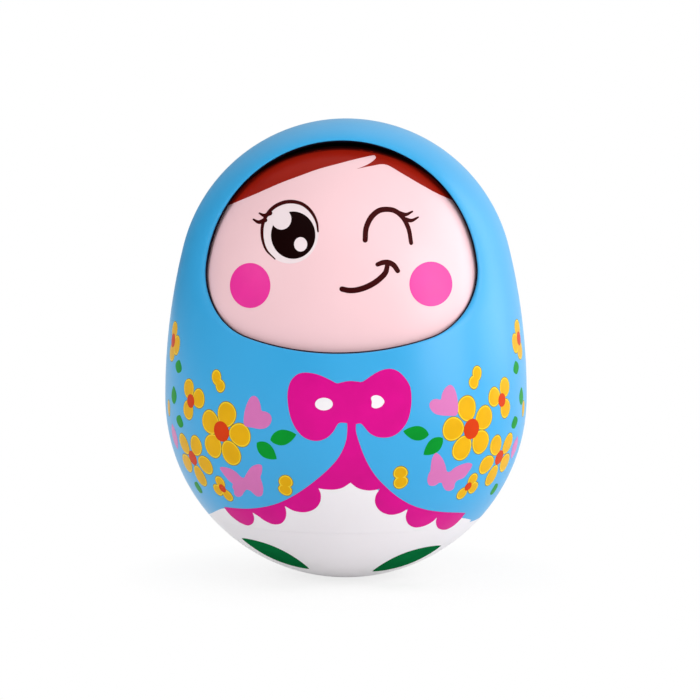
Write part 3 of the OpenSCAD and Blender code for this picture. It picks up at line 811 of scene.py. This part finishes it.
def well_hole(x0, z0):
    """Screw well, in the frame of the shell before it is turned to the rear."""
    t = circle(WELL_POINTS)
    out = columns(np.cos(t), np.sin(t))
    xz = np.array([x0, z0]) + out * WELL_R
    start = on_front(xz + out * WELL_LIP)
    outside = []
    for a in quarter(WELL_ROWS):
        row = on_front(xz + out * WELL_LIP * (1 - sin(a)))
        row[:, 1] += WELL_LIP * (1 - cos(a))
        outside.append(row)
    outside.append(columns(xz[:, 0], np.full(WELL_POINTS, -WELL_FLOOR), xz[:, 1]))
    post = start.copy()
    post[:, 1] = WELL_POST_Y
    return {"loop": Egg.of_point(start, -INSET), "outside": outside, "inside": [post],
            "painted_shade_from": len(outside) + 1, "floor": np.array([x0, -WELL_FLOOR, z0]),
            "post": np.array([x0, WELL_POST_Y, z0])}


# The bowl and the face

NECK_R, NECK_TOP, NECK_WALL = 47.5, 29.3, 2.5
NECK_ROUND = 0.4
BOWL_SEGMENTS, BOWL_ROWS = 200, 26
BOWL_FLAT = 0.02  # rows of the round side start above this height
FOOT_BEND = 0.3  # share of the rounded edge's size at the point in its middle
MIDDLE = 0.5  # share of the radius of the ring on each flat


def bowl():
    """The bowl, turned from its profile: outside, edge, neck and inside."""
    foot = -acos(REST_R / BASE_R)
    v = np.linspace(BASE_R * foot, float(Egg.v_at(PARTING_Z - FOOT_ROUND, -INSET)), BOWL_ROWS)
    r, z = Egg.profile(v, -INSET)
    r, z = r[z > BOWL_FLAT], z[z > BOWL_FLAT]
    flat = sqrt((BASE_R - INSET) ** 2 - BASE_Z ** 2)
    profile = [(flat * MIDDLE, 0.0), (flat, 0.0)] + list(zip(r, z))
    bend = FOOT_ROUND * FOOT_BEND
    profile += [(r[-1] - bend, PARTING_Z - bend), (r[-1] - FOOT_ROUND, PARTING_Z)]
    profile += [(NECK_R, PARTING_Z), (NECK_R, NECK_TOP - NECK_ROUND), (NECK_R - NECK_ROUND, NECK_TOP),
                (NECK_R - NECK_WALL, NECK_TOP), (NECK_R - NECK_WALL, PARTING_Z)]
    r_in, z_in = Egg.profile(v[::-1], -INSET - WALL)
    keep = (r_in < NECK_R - NECK_WALL) & (z_in > WALL)
    profile += list(zip(r_in[keep], z_in[keep])) + [(r_in[keep][-1] * MIDDLE, z_in[keep][-1])]
    n, points, faces = BOWL_SEGMENTS, [], []
    t = circle(n)
    for r1, z1 in profile:
        points.append(columns(r1 * np.cos(t), r1 * np.sin(t), np.full(n, z1)))
    rings = [list(range(k * n, k * n + n)) for k in range(len(profile))]
    for low, high in zip(rings, rings[1:]):
        faces += strip(low, high)
    faces += fan(rings[0][::-1], len(profile) * n) + fan(rings[-1], len(profile) * n + 1)
    points.append(np.array([[0, 0, 0.0], [0, 0, profile[-1][1]]]))
    piece = mesh_object("bowl_skin", np.vstack(points), faces, WHITE, "body")
    hard_edges(piece)
    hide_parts("base_bowl")


def hard_edges(piece):
    """Marks the edges sharper than HARD_ANGLE, so that only rounded ones shade smoothly."""
    mesh = piece.data
    pair = {}
    for poly in mesh.polygons:
        for key in poly.edge_keys:
            pair.setdefault(key, []).append(poly.normal)
    limit = radians(HARD_ANGLE)
    for edge in mesh.edges:
        sides = pair[edge.key]
        edge.use_edge_sharp = len(sides) == 2 and sides[0].angle(sides[1], 0) > limit


FACE_EDGE_Y = 24.2  # the front of the face ends this far before the axle, under the hood
FACE_STEP = 3.2  # and steps down to its top, which is painted dark as shade under the hood
FACE_EDGE_ROUND = 0.5
FACE_EDGE_LEAST = radians(25) # the step turns down no further than this on the sides
FACE_SPAN = 1.36  # half the angle of the face's arc
FACE_STEEPEST = 0.97  # sine of the furthest turn of the face's lower and rear edge
FACE_ACROSS, FACE_ROWS, FACE_TOP_ROWS, FACE_BEND_ROWS = 90, 76, 24, 5


def face_edge(angle):
    """Turn about the axle of the upper edge of the face's front, at an angle along its arc."""
    rho = FACE_OFF + FACE_ARC * np.cos(angle)
    return np.maximum(np.arccos(np.clip(FACE_EDGE_Y / rho, 0, 1)), FACE_EDGE_LEAST)


def face():
    """The domed face: a grid over the arc and round the axle, stepped down at the top and painted there with
    dark shade, with an inside.
    """
    bend = quarter(FACE_BEND_ROWS)
    points, backs, normals = [], [], []
    for angle in np.linspace(-FACE_SPAN, FACE_SPAN, FACE_ACROSS):
        rho = FACE_OFF + FACE_ARC * cos(angle)
        low = -asin(min(FACE_STEEPEST, FACE_DROP / rho))
        high = pi / 2 + asin(min(FACE_STEEPEST, FACE_REAR / rho))
        edge, soft, wall = float(face_edge(angle)), FACE_EDGE_ROUND / rho, FACE_WALL / rho
        top = np.linspace(edge, high, FACE_TOP_ROWS + 1)
        turns = np.concatenate([np.linspace(low, edge - soft, FACE_ROWS),
                                edge - soft * (1 - np.sin(bend)), top])
        depth = np.concatenate([np.zeros(FACE_ROWS), FACE_EDGE_ROUND * (1 - np.cos(bend)),
                                np.full(len(top), FACE_STEP)])
        behind = np.concatenate([np.linspace(low, edge - soft - wall, FACE_ROWS),
                                 np.full(FACE_BEND_ROWS, edge - wall),
                                 np.linspace(edge - wall, high, len(top))])
        along = np.full(len(turns), angle * FACE_ARC)
        uv = columns(along, turns * FACE_R)
        points.append(Face.point(uv, -INSET - depth))
        backs.append(Face.point(columns(along, behind * FACE_R), -INSET - depth - FACE_WALL))
        shading = Face.normal(uv)
        shading[FACE_ROWS:FACE_ROWS + FACE_BEND_ROWS + 1] = 0
        normals.append(shading)
    rows = len(points[0])
    n = FACE_ACROSS * rows
    number = np.arange(n).reshape(FACE_ACROSS, rows)
    outside = []
    for i in range(FACE_ACROSS - 1):
        outside += strip(list(number[i + 1]), list(number[i]), closed=False)
    inside = [tuple(q + n for q in f[::-1]) for f in outside]
    rim = list(number[0]) + list(number[1:, -1]) + list(number[-1, :-1][::-1]) + list(number[1:-1, 0][::-1])
    walls = strip(rim, [q + n for q in rim])
    # the rounded edge, the step and the top take the painted shade of the gap under the hood
    dark = [k for k in range(len(outside)) if k % (rows - 1) >= FACE_ROWS - 1]
    flat_from = 2 * len(outside)
    faces = outside + inside + walls
    piece = mesh_object("face_skin", np.vstack(points + backs), faces, SKIN, "head",
                        range(flat_from, len(faces)), np.vstack(normals + [np.zeros((n, 3))]), SHADE_DARK, dark)
    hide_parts("face_shell")


# Printed face: outlines and widths of strokes in pixels, margins of the hair in mm

HAIRLINE_LEFT = [(221, 208.3), (231, 204), (255, 194), (280, 183), (300, 175.5), (318, 169), (340, 163),
                 (356.5, 158.7), (370, 155.6)]
HAIR_NOTCH = [(370, 155.6), (374.6, 155.2), (376, 157.3), (372.5, 161.2), (365, 165.6), (357, 168.6)]
HAIRLINE_RIGHT = [(357, 168.6), (371, 165.8), (385, 164.2), (401, 172.6), (418, 182.6), (436, 192.6),
                  (452, 199.8), (463, 204.4), (472, 208)]
HAIR_MARGIN = FACE_EDGE_ROUND + 0.05  # of the hair from the upper edge of the face's front
HAIR_SHADOW_SPAN = 0.86  # share of the hair's width that carries painted shadow from the hood along the top
HAIR_SHADOW_END = 0.12  # angle that leaves the ends of that strip a little width
HAIR_SHADOW_BLUNT = 0.5
# name, width, layer and colour of its two strips of painted shadow
HAIR_SHADOWS = [("hair_shadow_print", 3.6, 3, INK_HAIR_SHADOW), ("hair_edge_shadow_print", 2.3, 4, INK_HAIR_DEEP_SHADOW)]
HAIR_STEPS, HAIR_POINTS = 8, 70  # on each line between two points, and along the top
HAIR_LEAST = 0.4  # the hair stops where it would be narrower

EYE_WHITE = ((290, 232.5), (28.5, 31.0))
IRIS = ((293.1, 235.1), (22.2, 23.7))
EYE_GLINT = ((281.3, 219.0), (10.0, 10.6))
EYE_SPARK = ((300.6, 244.3), (6.6, 7.2))
EYE_LID = [(274.9, 259), (266, 249.5), (262, 235.5), (263.6, 221), (272, 208.6), (283, 202.6),
           (292.7, 201.6), (303, 204.4), (311.5, 212), (316.6, 222), (318, 231.5)]
EYE_LID_WIDE = [1.2, 2.2, 2.9, 3.3, 3.6, 3.7, 3.7, 3.5, 3.1, 2.4, 1.6]
LASH_WIDE = [4.6, 3.6, 1.8]
EYE_LASHES = [[(270, 213), (264.5, 215.4), (259.4, 213.2)], [(265, 220), (258.6, 222), (253.4, 219.4)]]
WINK = [(365.2, 240), (366.2, 228), (371.4, 217), (379, 210.6), (386.4, 209.2), (394.6, 210.6),
        (402.6, 217), (408.4, 228), (411.3, 243)]
WINK_WIDE = [5.2, 5.4, 5.6, 5.5, 5.2, 5.0, 4.6, 4.3, 4.0]
WINK_LASHES = [[(399, 213), (406, 214.4), (412.4, 211.4)], [(405.4, 219.4), (411.6, 220.4), (418.2, 217.2)]]
SMILE = [(342, 289), (349, 290.4), (356.5, 290), (365.5, 287.4), (373.5, 283.4), (380, 278.6),
         (385.6, 272.4), (387.6, 264.4)]
SMILE_WIDE = [5.4, 5.6, 5.7, 5.8, 5.8, 5.7, 5.4, 4.6]
DIMPLE = [(377.6, 264.4), (382.6, 262.6), (388.2, 262.4), (393.6, 265.0), (397.8, 270.8)]
DIMPLE_WIDE = [4.4, 5.0, 5.4, 5.2, 4.8]
CHEEKS = [((250, 285.5), (20.3, 22.6)), ((431, 284), (21.5, 22.4))]


def round_px(spot, n=48):
    """Ellipse in pixels from its middle and half its width and height."""
    (x, y), (w, h) = spot
    t = circle(n)
    return columns(x + w * np.cos(t), y - h * np.sin(t))


def face_print():
    def put(name, shapes, layer, finish):
        ink(name, Face, [[s] for s in shapes], layer, finish, "head")

    def put_px(name, shapes, layer, finish):
        put(name, [Face.hit(s) for s in shapes], layer, finish)

    def scale(u):
        return Face.width(columns(u, u))

    def edge_above(u):
        return face_edge(u / FACE_ARC) * FACE_R - HAIR_MARGIN * scale(u)

    parts = [open_curve(c, HAIR_STEPS) for c in (HAIRLINE_LEFT, HAIR_NOTCH, HAIRLINE_RIGHT)]
    line = Face.hit(joined(*parts))
    line = line[edge_above(line[:, 0]) - line[:, 1] > HAIR_LEAST]
    u = np.linspace(line[-1, 0], line[0, 0], HAIR_POINTS)
    put("hair_print", [np.vstack([line, columns(u, edge_above(u))])], 2, INK_HAIR)
    # painted shadow of the hood along the top of the hair, widest in the middle
    u = np.linspace(line[-1, 0] * HAIR_SHADOW_SPAN, line[0, 0] * HAIR_SHADOW_SPAN, HAIR_POINTS)
    full = np.sin(np.linspace(HAIR_SHADOW_END, pi - HAIR_SHADOW_END, HAIR_POINTS)) ** HAIR_SHADOW_BLUNT
    for name, wide, layer, finish in HAIR_SHADOWS:
        below = edge_above(u) - wide * full * scale(u)
        put(name, [np.vstack([columns(u, edge_above(u)), columns(u, below)[::-1]])],
            layer, finish)

    put_px("eye_print", [round_px(EYE_WHITE, 64)], 1, INK_EYE)
    put_px("iris_print", [round_px(IRIS, 56)], 3, INK_IRIS)
    put_px("glint_print", [round_px(EYE_GLINT, 32), round_px(EYE_SPARK, 28)], 5, INK_EYE)
    eye_lashes = [stroke(p, LASH_WIDE) for p in EYE_LASHES]
    wink_lashes = [stroke(p, LASH_WIDE) for p in WINK_LASHES]
    put_px("lid_print", [stroke(EYE_LID, EYE_LID_WIDE)] + eye_lashes, 5, INK_LINE)
    put_px("line_print", [stroke(WINK, WINK_WIDE)] + wink_lashes + [stroke(SMILE, SMILE_WIDE)], 3, INK_LINE)
    put_px("dimple_print", [stroke(DIMPLE, DIMPLE_WIDE)], 4, INK_LINE)
    put_px("cheek_print", [round_px(c) for c in CHEEKS], 2, INK_CHEEK)


# Printed body, outlines in pixels

BOW_LEFT = [(350, 381), (342, 382.3), (337, 383.3), (331, 380.4), (324, 377), (316.5, 374.2), (309, 372.8),
            (302.5, 372.8), (297, 374.6), (291, 380.6), (287.6, 392), (288.4, 408), (291.6, 420.4),
            (297.4, 431), (305.6, 438.4), (317, 441), (327, 437.8), (333.6, 431.2)]
BOW_KNOT_LEFT = [(338, 424), (340.5, 422.8), (347.2, 423.2)]
BOW_KNOT_RIGHT = [(356, 424.2), (360.6, 423.6), (362.6, 425)]
BOW_RIGHT = [(369.8, 433.2), (376.5, 436.8), (384, 437.8), (391, 436.8), (397.4, 433.6), (404, 427),
             (408.4, 419), (411.4, 404), (410.8, 389), (408.6, 383), (404, 376.6), (398.6, 371.6),
             (391, 368.8), (383, 369.8), (376.6, 372.6), (371, 376), (362, 381.8), (357, 381.6)]
BOW_OVAL = ((323.9, 404.1), (8.9, 6.3))
BOW_PATCH = [(371.2, 397.4), (375.6, 395.2), (381.2, 396.9), (384.4, 401.8), (381.4, 406.4),
             (375.6, 408.4), (371.8, 406.8), (371.9, 402)]
EDGING_LEFT = [(347.2, 423.2), (347.3, 430), (346.3, 439.6), (343, 449.4), (337.2, 459.4), (329, 468.6),
               (319, 477.6), (307.4, 486.7), (291, 497.3), (276, 504.1), (259.5, 507.9), (243, 508.9),
               (223.8, 507.2)]
EDGING_RIGHT = [(356, 424.2), (356, 431.2), (359.8, 444.4), (366.4, 461), (375.5, 475.8), (386.4, 487.4),
                (398, 497.2), (411.3, 505), (426.2, 509.8), (442.8, 512.2), (465.6, 513)]
SCALLOPS = [
    [(223.8, 507.2), (227.6, 512.4), (233.8, 518.4), (242, 523.8), (248.6, 525.6), (253, 523),
     (254, 517.6), (252.5, 512.7)],
    [(252.5, 512.7), (257.8, 515.9), (264.4, 520.7), (273.5, 524.5), (281, 523.6), (285.2, 519),
     (286.2, 512.4), (284.8, 506.2)],
    [(284.8, 506.2), (294.3, 511.1), (305.8, 512.3), (315, 508.8), (320, 502.4), (320.8, 494.8),
     (318.5, 488.4)],
    [(318.5, 488.4), (324.4, 489.4), (334, 489.7), (342.4, 487.9), (350.4, 482.8)],
    [(350.4, 482.8), (358.2, 488.3), (368, 490.6), (376, 489.9), (380, 488.8)],
    [(380, 488.8), (375.8, 495.8), (375.2, 503.3), (379.8, 510.8), (389.8, 514.9), (399.7, 513.3),
     (408, 508.9)],
    [(408, 508.9), (405.8, 516.6), (408, 523.8), (414.6, 527.5), (424.6, 526), (432.8, 521.6), (437, 517.5)],
    [(437, 517.5), (436, 522.6), (438, 528), (444.4, 530), (452.6, 526.6), (460, 520), (465.6, 513)],
]
APRON_TOP = [(206, 515.6), (211.4, 513.3), (224, 508.5), (236, 513), (250, 511), (268, 512), (290, 504),
             (312, 489), (334, 480), (350, 470), (366, 480), (386, 497), (404, 509), (424, 515.5),
             (444, 519), (463, 518.3), (476, 521.4), (482, 523)]
# both ends of each oval and its thickness
OVALS = [((241.5, 538.3), (309.2, 569), 11.6), ((372.4, 571.5), (441.2, 545.7), 11.6)]


PRINT_STEPS = 5  # on each line between two points
APRON_POINTS = 120  # along the apron's lower edge
APRON_GAP = 0.02  # between that edge and the rounding of the shell
APRON_LEAST = 0.4  # the apron stops where it would be narrower
OVAL_POINTS = 30


def body_print():
    def put(name, shapes, layer, finish, slot="shell"):
        ink(name, Egg, [[Egg.hit(s)] for s in shapes], layer, finish, "body")

    top = Egg.hit(open_curve(APRON_TOP, PRINT_STEPS))
    foot = float(Egg.v_at(FOOT_Z + FOOT_ROUND, -INSET)) + APRON_GAP
    top = top[top[:, 1] > foot + APRON_LEAST]
    low = columns(np.linspace(top[-1, 0], top[0, 0], APRON_POINTS), np.full(APRON_POINTS, foot))
    ink("apron_print", Egg, [[np.vstack([top, low])]], 1, INK_WHITE, "body")

    bow = BOW_KNOT_RIGHT + BOW_RIGHT + BOW_LEFT + BOW_KNOT_LEFT
    border = [EDGING_LEFT] + SCALLOPS + [EDGING_RIGHT[::-1], bow]
    put("pink_print", [joined(*(open_curve(c, PRINT_STEPS) for c in border))], 3, INK_PINK)
    put("bow_gloss_print", [round_px(BOW_OVAL, 36), curve(BOW_PATCH, PRINT_STEPS)], 5, INK_WHITE)

    ovals = []
    for a, b, thick in OVALS:
        along = np.subtract(b, a)
        turn = atan2(along[1], along[0])
        ovals.append(leaf(np.linalg.norm(along), thick, turn, np.add(a, b) / 2, n=OVAL_POINTS))
    put("oval_print", ovals, 4, INK_OVAL, "bowl")


# Motifs: a place in pixels, length and width in mm on the surface, degrees from +x, anticlockwise

PETAL_RIM = 0.5  # lighter edge of a petal
PETAL_LINE = 0.28  # thin dark line round it
PETAL_POINTS, PETAL_EGG = 34, 0.10
LEAF_BELLY = 0.45
MOTIF_STEPS = 4
# middle and middles of the petals, length and width of a petal, radius of the heart
FLOWERS = [
    ((221.2, 431.5), [(210.4, 422.5), (226.2, 414.8), (239.4, 435), (230.6, 453), (213, 445.8)],
     9.6, 8.8, 3.9),
    ((471.8, 429), [(467.3, 408.6), (484.2, 418), (480.8, 441.8), (462.6, 448), (453.8, 429)],
     9.6, 8.8, 3.9),
    ((192.5, 458), [(184, 444.2), (195.6, 446), (205, 465), (199.8, 476), (187, 463)], 8.6, 7.2, 2.9),
    ((499.5, 457.6), [(508, 443.8), (496.4, 445.6), (487, 464.6), (492.2, 475.6), (505, 462.6)],
     8.6, 7.2, 2.9),
    ((190.5, 401), [(188.6, 389), (198.2, 398.6), (188, 409.6)], 7.4, 7.2, 2.6),
    ((502.1, 400), [(494.8, 397), (504.9, 387.4), (505.6, 408)], 7.4, 7.2, 2.6),
    ((222.3, 488.4), [(220, 482.6), (218, 490), (227.4, 495.4)], 5.2, 4.9, 1.8),
    ((468.3, 486.6), [(472.8, 479.8), (473.2, 487.8), (462.4, 493.4)], 5.2, 4.9, 1.8),
    ((173, 340.4), [(174.2, 330.6), (176.3, 345), (171.8, 352)], 6.8, 7.4, 2.7),
    ((519, 338.4), [(517.8, 328.6), (515.7, 343), (520.2, 350)], 6.8, 7.4, 2.7),
]
PETAL_PAIRS = [((216.3, 377.6), 5.7, 4.7, 100), ((219.9, 385.6), 5.0, 4.6, -50),
               ((477.2, 373.7), 5.7, 4.7, 80), ((474.2, 382), 5.0, 4.8, 230),
               ((285.5, 481.8), 5.5, 5.0, 20), ((285, 489.9), 5.3, 4.7, -15),
               ((400.8, 473), 5.5, 5.0, 165), ((401, 482.4), 5.5, 5.1, 200)]
LEAVES = [((283, 437.4), 10.6, 5.8, 14), ((266.4, 451), 9.6, 5.9, -38),
          ((416.4, 433.2), 10.4, 5.4, 170), ((433.6, 446.6), 9.6, 5.8, 218),
          ((178.3, 366.4), 5.2, 6.6, 80), ((173.6, 395.1), 7.0, 6.2, 95), ((179.4, 421.2), 5.0, 6.6, 75),
          ((198, 487.4), 5.8, 5.2, 60),
          ((516.4, 367.5), 5.2, 6.4, 100), ((521.6, 396.2), 7.0, 6.0, 85), ((515, 422.3), 5.0, 6.4, 105),
          ((494.6, 489.1), 5.8, 5.2, 120)]
HEARTS = [[(253.4, 395.8), (257.2, 397.8), (260.1, 404), (261.6, 410.8), (265.4, 411.7), (269.6, 414.1),
           (271.5, 418.6), (270.2, 423.9), (266, 427.8), (259.4, 429), (252.1, 427.6), (245.7, 426.5),
           (243.9, 424.6), (243.7, 417.2), (245, 409.5), (247.2, 402.9), (249.9, 398)],
          [(450.5, 384.8), (453.8, 387.2), (456.2, 392.9), (457.8, 400.7), (458.2, 408.4), (457.6, 413.7),
           (455.8, 415.6), (450.1, 415.8), (442.8, 415.5), (435.5, 413.9), (430.8, 409.3), (429.5, 404.4),
           (431.9, 400.4), (436.6, 398.9), (440.8, 399.6), (442.1, 394.3), (445.2, 388.3)]]
BUTTERFLIES = [
    [(219.8, 467.6), (226.2, 467.6), (235.1, 471.6), (241, 477.1), (243.7, 478), (246.8, 472.9),
     (251.7, 466.7), (257.8, 464.5), (261.4, 465.4), (261.8, 472), (260.3, 477.3), (262, 483.1),
     (263.1, 489.7), (261.8, 495.5), (257.6, 496.6), (253.6, 493.9), (250.6, 491), (248.6, 490.2),
     (246.4, 489.7), (243.9, 492.4), (241.3, 496.1), (237.3, 497), (234.2, 493.9), (233.8, 490.2),
     (232.2, 487.1), (232.7, 484.2), (228.5, 480.4), (224, 474.9)],
    [(435.9, 453), (439.2, 454.6), (443, 459.4), (445.6, 465.9), (447, 471.4), (449.6, 472),
     (455.1, 467.8), (462.7, 464.3), (469.3, 463), (472.4, 464.5), (468.6, 472), (463.8, 477.8),
     (457.3, 480.7), (455.1, 483.5), (454, 488.2), (450.5, 490.8), (446.1, 490.4), (443.2, 486.6),
     (441.7, 482.9), (439.2, 482.9), (436.4, 484.9), (432.8, 486), (429.3, 485.3), (427.5, 481.3),
     (428.4, 475.1), (430.6, 470.5), (431, 465.9), (432.4, 458.3)]]
PINK_SLIVERS = [((174.3, 436.6), 10.0, 7.0, 96), ((515, 447.6), 9.0, 7.0, 84)]
YELLOW_SLIVERS = [((168.6, 408), 6.0, 4.0, 90), ((523.6, 408.6), 6.0, 4.0, 90)]


def motif_print():
    lines, rims, fills, hearts, leaves, lilac = [], [], [], [], [], []

    def spot(pixel):
        return Egg.hit([pixel])[0]

    def petal(at, long, wide, turn):
        """Petal with its lighter edge and dark line. turn is the way its outer end points."""
        turn -= pi / 2
        for patches, more in ((lines, PETAL_LINE), (rims, 0), (fills, -PETAL_RIM)):
            shape = ellipse(wide / 2 + more, long / 2 + more, turn, PETAL_POINTS, PETAL_EGG)
            patches.append([Egg.local(at, shape)])

    for centre, petals, long, wide, heart in FLOWERS:
        c = spot(centre)
        for p in petals:
            at = spot(p)
            k = float(Egg.width(at[None])[0])
            petal(at, long, wide, atan2(at[1] - c[1], (at[0] - c[0]) * k))
        hearts.append([Egg.local(c, ellipse(heart, heart))])
    for p, long, wide, turn in PETAL_PAIRS + YELLOW_SLIVERS:
        petal(spot(p), long, wide, radians(turn))
    for p, long, wide, turn in LEAVES:
        leaves.append([Egg.local(spot(p), leaf(long, wide, radians(turn), belly=LEAF_BELLY))])
    for p, long, wide, turn in PINK_SLIVERS:
        lilac.append([Egg.local(spot(p), leaf(long, wide, radians(turn)))])
    for outline in HEARTS + BUTTERFLIES:
        lilac.append([Egg.hit(curve(outline, MOTIF_STEPS))])

    for name, patches, layer, finish in (
            ("petal_line_print", lines, 0, INK_OLIVE), ("petal_rim_print", rims, 1, INK_RIM),
            ("petal_print", fills, 3, INK_PETAL), ("flower_heart_print", hearts, 5, INK_HEART),
            ("leaf_print", leaves, 2, INK_LEAF), ("lilac_print", lilac, 2, INK_LILAC)):
        ink(name, Egg, patches, layer, finish, "body")


# Studio

SKY = 0.48  # light of the white surroundings on matt surfaces
BRIGHT_WAY = (0.83, 0.20, 0.52)  # the surroundings are white on this side and behind
BRIGHT_FROM, BRIGHT_TO = -0.25, 0.55  # share of it in a direction where they begin and end to grow white
DIM_SIDE = 0.05  # and dimmer in reflections from the far side
FLOOR_HALF = 3.0  # half the floor's width
FLOOR_ROUGH = 0.9
FLOOR_PALE = 0.86  # colour of the floor
FLOOR_WHITE = 0.78  # share of plain white in the floor as it is seen beside the toy
WHITE_FROM, WHITE_TO = 0.02, 0.09  # metres from the toy between which that share grows to 1
AIM = (0.0, 0.0, 0.09)  # the lamps point at the middle of the toy
LAMPS = [
    # name, degrees to the right of the front, degrees up, metres away, width, height, watts, seen in gloss
    ("front", 4, 10, 1.5, 0.5, 0.5, 2.3, False),
    ("left", -64, 26, 1.4, 0.8, 0.7, 5.8, False),
    ("right", 38, 32, 1.4, 0.8, 0.7, 2.3, False),
    ("side", 66, 14, 1.2, 0.7, 0.9, 6.6, True),
    ("rim", 110, 20, 1.2, 0.7, 1.0, 4.4, True),
    ("top", 15, 62, 1.4, 0.9, 0.7, 2.8, False),
]


def area_light(name, turn, up, far, wide, high, power, gloss):
    data = bpy.data.lights.new(name, "AREA")
    data.shape = "RECTANGLE"
    data.size, data.size_y = wide, high
    data.energy = power
    lamp = in_scene("lamp_" + name, data)
    turn, up = radians(turn), radians(up)
    away = Vector((sin(turn) * cos(up), -cos(turn) * cos(up), sin(up)))
    lamp.location = Vector(AIM) + away * far
    lamp.rotation_euler = away.to_track_quat("Z", "Y").to_euler()
    lamp.visible_glossy = gloss


def seen_ray(tree):
    """1 for a ray that shows the surroundings, from the camera or by way of gloss or glass, and 1 for the
    camera's own."""
    path = add_node(tree, "LightPath", {})
    camera_ray = path.outputs["Is Camera Ray"]
    total = camera_ray
    for way in ("Is Glossy Ray", "Is Transmission Ray"):
        total = add_node(tree, "Math", {0: total, 1: path.outputs[way]}, "MAXIMUM").outputs[0]
    return total, camera_ray


def surroundings():
    """White for the camera, white on one side in reflections, and an even light on matt surfaces."""
    world = bpy.data.worlds.new("studio")
    bpy.context.scene.world = world
    world.use_nodes = True
    tree = world.node_tree
    seen, camera_ray = seen_ray(tree)
    where = add_node(tree, "TexCoord", {}).outputs["Generated"]
    toward = add_node(tree, "VectorMath", {0: where, 1: BRIGHT_WAY}, "DOT_PRODUCT").outputs["Value"]
    white = add_node(tree, "MapRange", {"Value": toward, "From Min": BRIGHT_FROM, "From Max": BRIGHT_TO,
                                        "To Min": DIM_SIDE, "To Max": 1.0}).outputs["Result"]
    shown = add_node(tree, "Math", {0: white, 1: camera_ray}, "MAXIMUM").outputs[0]
    level = add_node(tree, "MapRange", {"Value": seen, "To Min": SKY, "To Max": shown}).outputs["Result"]
    feed(tree, tree.nodes["Background"], {"Color": (1, 1, 1, 1), "Strength": level})


def floor():
    """Pale paper that keeps the toy's shadow and runs out into the white of the surroundings."""
    mesh = bpy.data.meshes.new("floor")
    corners = [(-1, -1), (1, -1), (1, 1), (-1, 1)]
    mesh.from_pydata([(x * FLOOR_HALF, y * FLOOR_HALF, 0) for x, y in corners], [], [(0, 1, 2, 3)])
    paper = bpy.data.materials.new("floor_paper")
    paper.use_nodes = True
    tree = paper.node_tree
    shader = tree.nodes["Principled BSDF"]
    feed(tree, shader, {"Base Color": (FLOOR_PALE, FLOOR_PALE, FLOOR_PALE, 1), "Roughness": FLOOR_ROUGH,
                        "Specular IOR Level": 0.0})
    white = add_node(tree, "Emission", {"Strength": 1.0})
    where = add_node(tree, "TexCoord", {}).outputs["Object"]
    far = add_node(tree, "VectorMath", {0: where}, "LENGTH").outputs["Value"]
    share = add_node(tree, "MapRange", {"Value": far, "From Min": WHITE_FROM, "From Max": WHITE_TO,
                                        "To Min": FLOOR_WHITE, "To Max": 1.0}).outputs["Result"]
    shown = add_node(tree, "Math", {0: share, 1: seen_ray(tree)[0]}, "MULTIPLY").outputs[0]
    blend = add_node(tree, "MixShader", {
        "Fac": shown, 1: shader.outputs["BSDF"], 2: white.outputs["Emission"]})
    feed(tree, tree.nodes["Material Output"], {"Surface": blend.outputs["Shader"]})
    mesh.materials.append(paper)
    piece = in_scene("floor", mesh)


def studio():
    bpy.context.scene.view_settings.view_transform = "Standard"
    surroundings()
    for lamp in LAMPS:
        area_light(*lamp)
    floor()


# The scene

make_camera()
studio()
for finish, names in CAD_FINISH:
    for name in names:
        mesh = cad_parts[name].data
        mesh.materials.clear()
        mesh.materials.append(finish)

front = half_shell("front_skin", [window_hole()], BLUE, False)
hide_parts("front_shell")
rear = half_shell("rear_skin", [well_hole(x * side, z) for x, z in WELLS for side in (-1, 1)], BLUE, True)
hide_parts("rear_shell")
for shell in (front, rear):
    hard_edges(shell)
bowl()
face()
face_print()
body_print()
motif_print()
